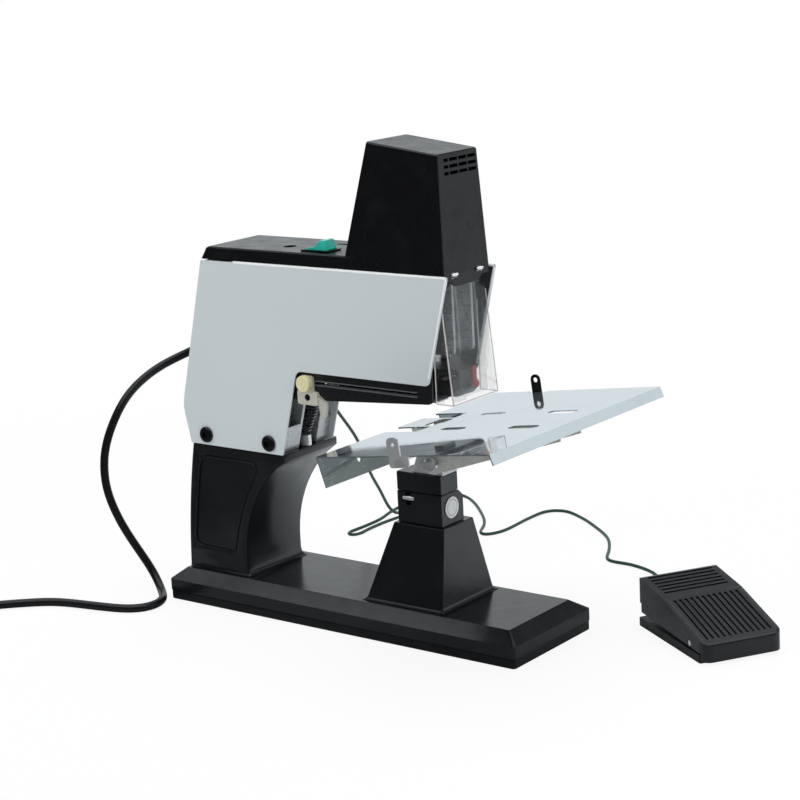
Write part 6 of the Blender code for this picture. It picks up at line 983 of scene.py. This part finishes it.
def makeTreadleRim(s):
    # rounded lip about the ramp: a tube down one edge, round the front corners and up the other, its height following
    # the ramp's straight fall from crest to front
    r = s["radius"]
    inner, bend = s["side"] - r, s["corner"] - r
    end = s["front"][0] - s["corner"]
    turn = np.linspace(0, math.pi / 2, 9)
    down = [(u, -inner) for u in np.linspace(s["crest"][0], end, 12)]
    corner = [(end + bend * math.sin(a), -inner + bend * (1 - math.cos(a))) for a in turn[1:]]
    across = [(end + bend, v) for v in np.linspace(-inner + bend, 0, 8)[1:]]
    half = np.array(down + corner + across)
    flat = np.concatenate([half, (half * (1, -1))[-2::-1]])
    share = (flat[:, 0] - s["crest"][0]) / (s["front"][0] - s["crest"][0])
    height = s["crest"][1] + (s["front"][1] - s["crest"][1]) * share - r + s["proud"]
    cosine, sine = math.cos(s["yaw"]), math.sin(s["yaw"])
    points = np.stack([s["place"][0] + flat[:, 0] * cosine - flat[:, 1] * sine,
                       s["place"][1] + flat[:, 0] * sine + flat[:, 1] * cosine, height], 1)
    tubePiece("treadleRim", points, r, finishes["glossMoulding"], body="treadle")


makeTreadleRim(treadleSettings)

discSettings = {
    "radius": 0.00822, "thick": 0.0006,
    "ring": (0.00585, 0.00600, 0.00630, 0.00645),  # radii where the painted ring fades in and out
}


def makeFrontDisc(s):
    # flat round plate with a low rolled lip
    low, _, centre = nodeBox("front_disc")
    centre[0] = low[0]
    r, t = s["radius"], s["thick"]
    rows = [(0.0, t * 0.72), (r * 0.80, t * 0.72), (r * 0.84, t * 0.80), (r * 0.88, t), (r * 0.97, t), (r, t * 0.7),
            (r, 0.0), (0.0, 0.0)]
    paint = discPaint((centre[0] + t, centre[1], centre[2]), s["ring"])
    turnedPiece("frontDisc", rows, (1, 0, 0), centre, paint, 72, smooth=40, replaced=("front_disc",))


def discPaint(centre, radii):
    # pale enamel with one plain darker ring near the edge
    m = finishMaker("discPaint")
    away = m.maths("DISTANCE", m.coords, centre, kind="VectorMath")
    ring = m.maths("MULTIPLY", m.ramp(away, 0, 1, *radii[:2]), m.ramp(away, 1, 0, *radii[2:]))
    cloud = m.mix(m.ramp(m.noise(240, 4), 0, 1, 0.35, 0.7), (0.72, 0.735, 0.735), (0.88, 0.89, 0.89))
    m.colour(m.mix(m.maths("MULTIPLY", ring, 0.75), cloud, (0.10, 0.11, 0.12)))
    m.roughness(m.ramp(m.noise(300, 3), 0.34, 0.50))
    m.bump(m.noise(900, 2), 0.00004, 0.3)
    return m.material


makeFrontDisc(discSettings)


def plugFinish(start, heading, reach):
    # black moulding with a fine grain, and bright plated blades past the body's end
    m = finishMaker("plugFinish")
    blades = m.along(tuple(heading), float(np.dot(start, heading)) + reach)
    m.colour(m.mix(blades, paintSettings["mouldBlack"], (0.72, 0.70, 0.62)))
    m.feed(m.shader.inputs["Metallic"], blades)
    m.roughness(m.ramp(m.noise(150, 3), 0.20, 0.34))
    m.bump(m.cells(1300), 0.00005, 0.4)
    return m.material


for slot in nodes["mains_plug"].material_slots:
    slot.material = plugFinish(plugStart, plugHeading, mainsSettings["blades"])
print("small pieces made")


edgeSettings = {
    "join": 0.000002,            # metres within which a node's points are one
    "flat": 0.6,                 # degrees up to which neighbouring faces are melted together
    "angle": 34,                 # degrees past which an edge is rounded
    "segments": 3,
    "widths": {
        "base_casting": 0.0013, "column_casting": 0.0009, "pedestal_casting": 0.0009, "hood_shell": 0.0008,
        "near_side_panel": 0.0004, "far_side_panel": 0.0004, "rear_panel": 0.0004, "table_plate": 0.0003,
        "anvil_block_lower": 0.0008, "anvil_block_upper": 0.0008, "pedal_treadle": 0.0007, "pedal_base": 0.0008,
        "base_plate": 0.0008, "switch_bezel": 0.0004, "rocker": 0.0004, "arm_shell": 0.0005, "near_tab": 0.0003,
        "far_tab": 0.0003, "depth_stop": 0.0004, "table_bracket": 0.0003, "table_wing_screw": 0.0005,
    },
}


def shadeSmooth(node):
    # a modifier that shades every face smooth, for a curved face made of flat strips; the node's mesh isn't touched
    group = bpy.data.node_groups.new("shadeSmooth", "GeometryNodeTree")
    for side in ("INPUT", "OUTPUT"):
        group.interface.new_socket("Geometry", in_out=side, socket_type="NodeSocketGeometry")
    source, shade, result = (group.nodes.new(kind) for kind in ("NodeGroupInput", "GeometryNodeSetShadeSmooth",
                                                                "NodeGroupOutput"))
    group.links.new(source.outputs[0], shade.inputs["Geometry"])
    group.links.new(shade.outputs["Geometry"], result.inputs[0])
    node.modifiers.new("shadeSmooth", "NODES").node_group = group


def softenNode(name, width, s):
    # modifiers that join a node's loose triangles, melt flat neighbours together and round its sharp edges
    modifiers = nodes[name].modifiers
    modifiers.new("joinPoints", "WELD").merge_threshold = s["join"]
    flat = modifiers.new("meltFlats", "DECIMATE")
    flat.decimate_type = "DISSOLVE"
    flat.angle_limit = math.radians(s["flat"])
    bevel = modifiers.new("roundEdges", "BEVEL")
    bevel.width = width
    bevel.segments = s["segments"]
    bevel.limit_method = "ANGLE"
    bevel.angle_limit = math.radians(s["angle"])
    bevel.harden_normals = True


shadeSmooth(nodes["column_casting"])
for name, width in edgeSettings["widths"].items():
    softenNode(name, width, edgeSettings)
print("edges rounded:", len(edgeSettings["widths"]))
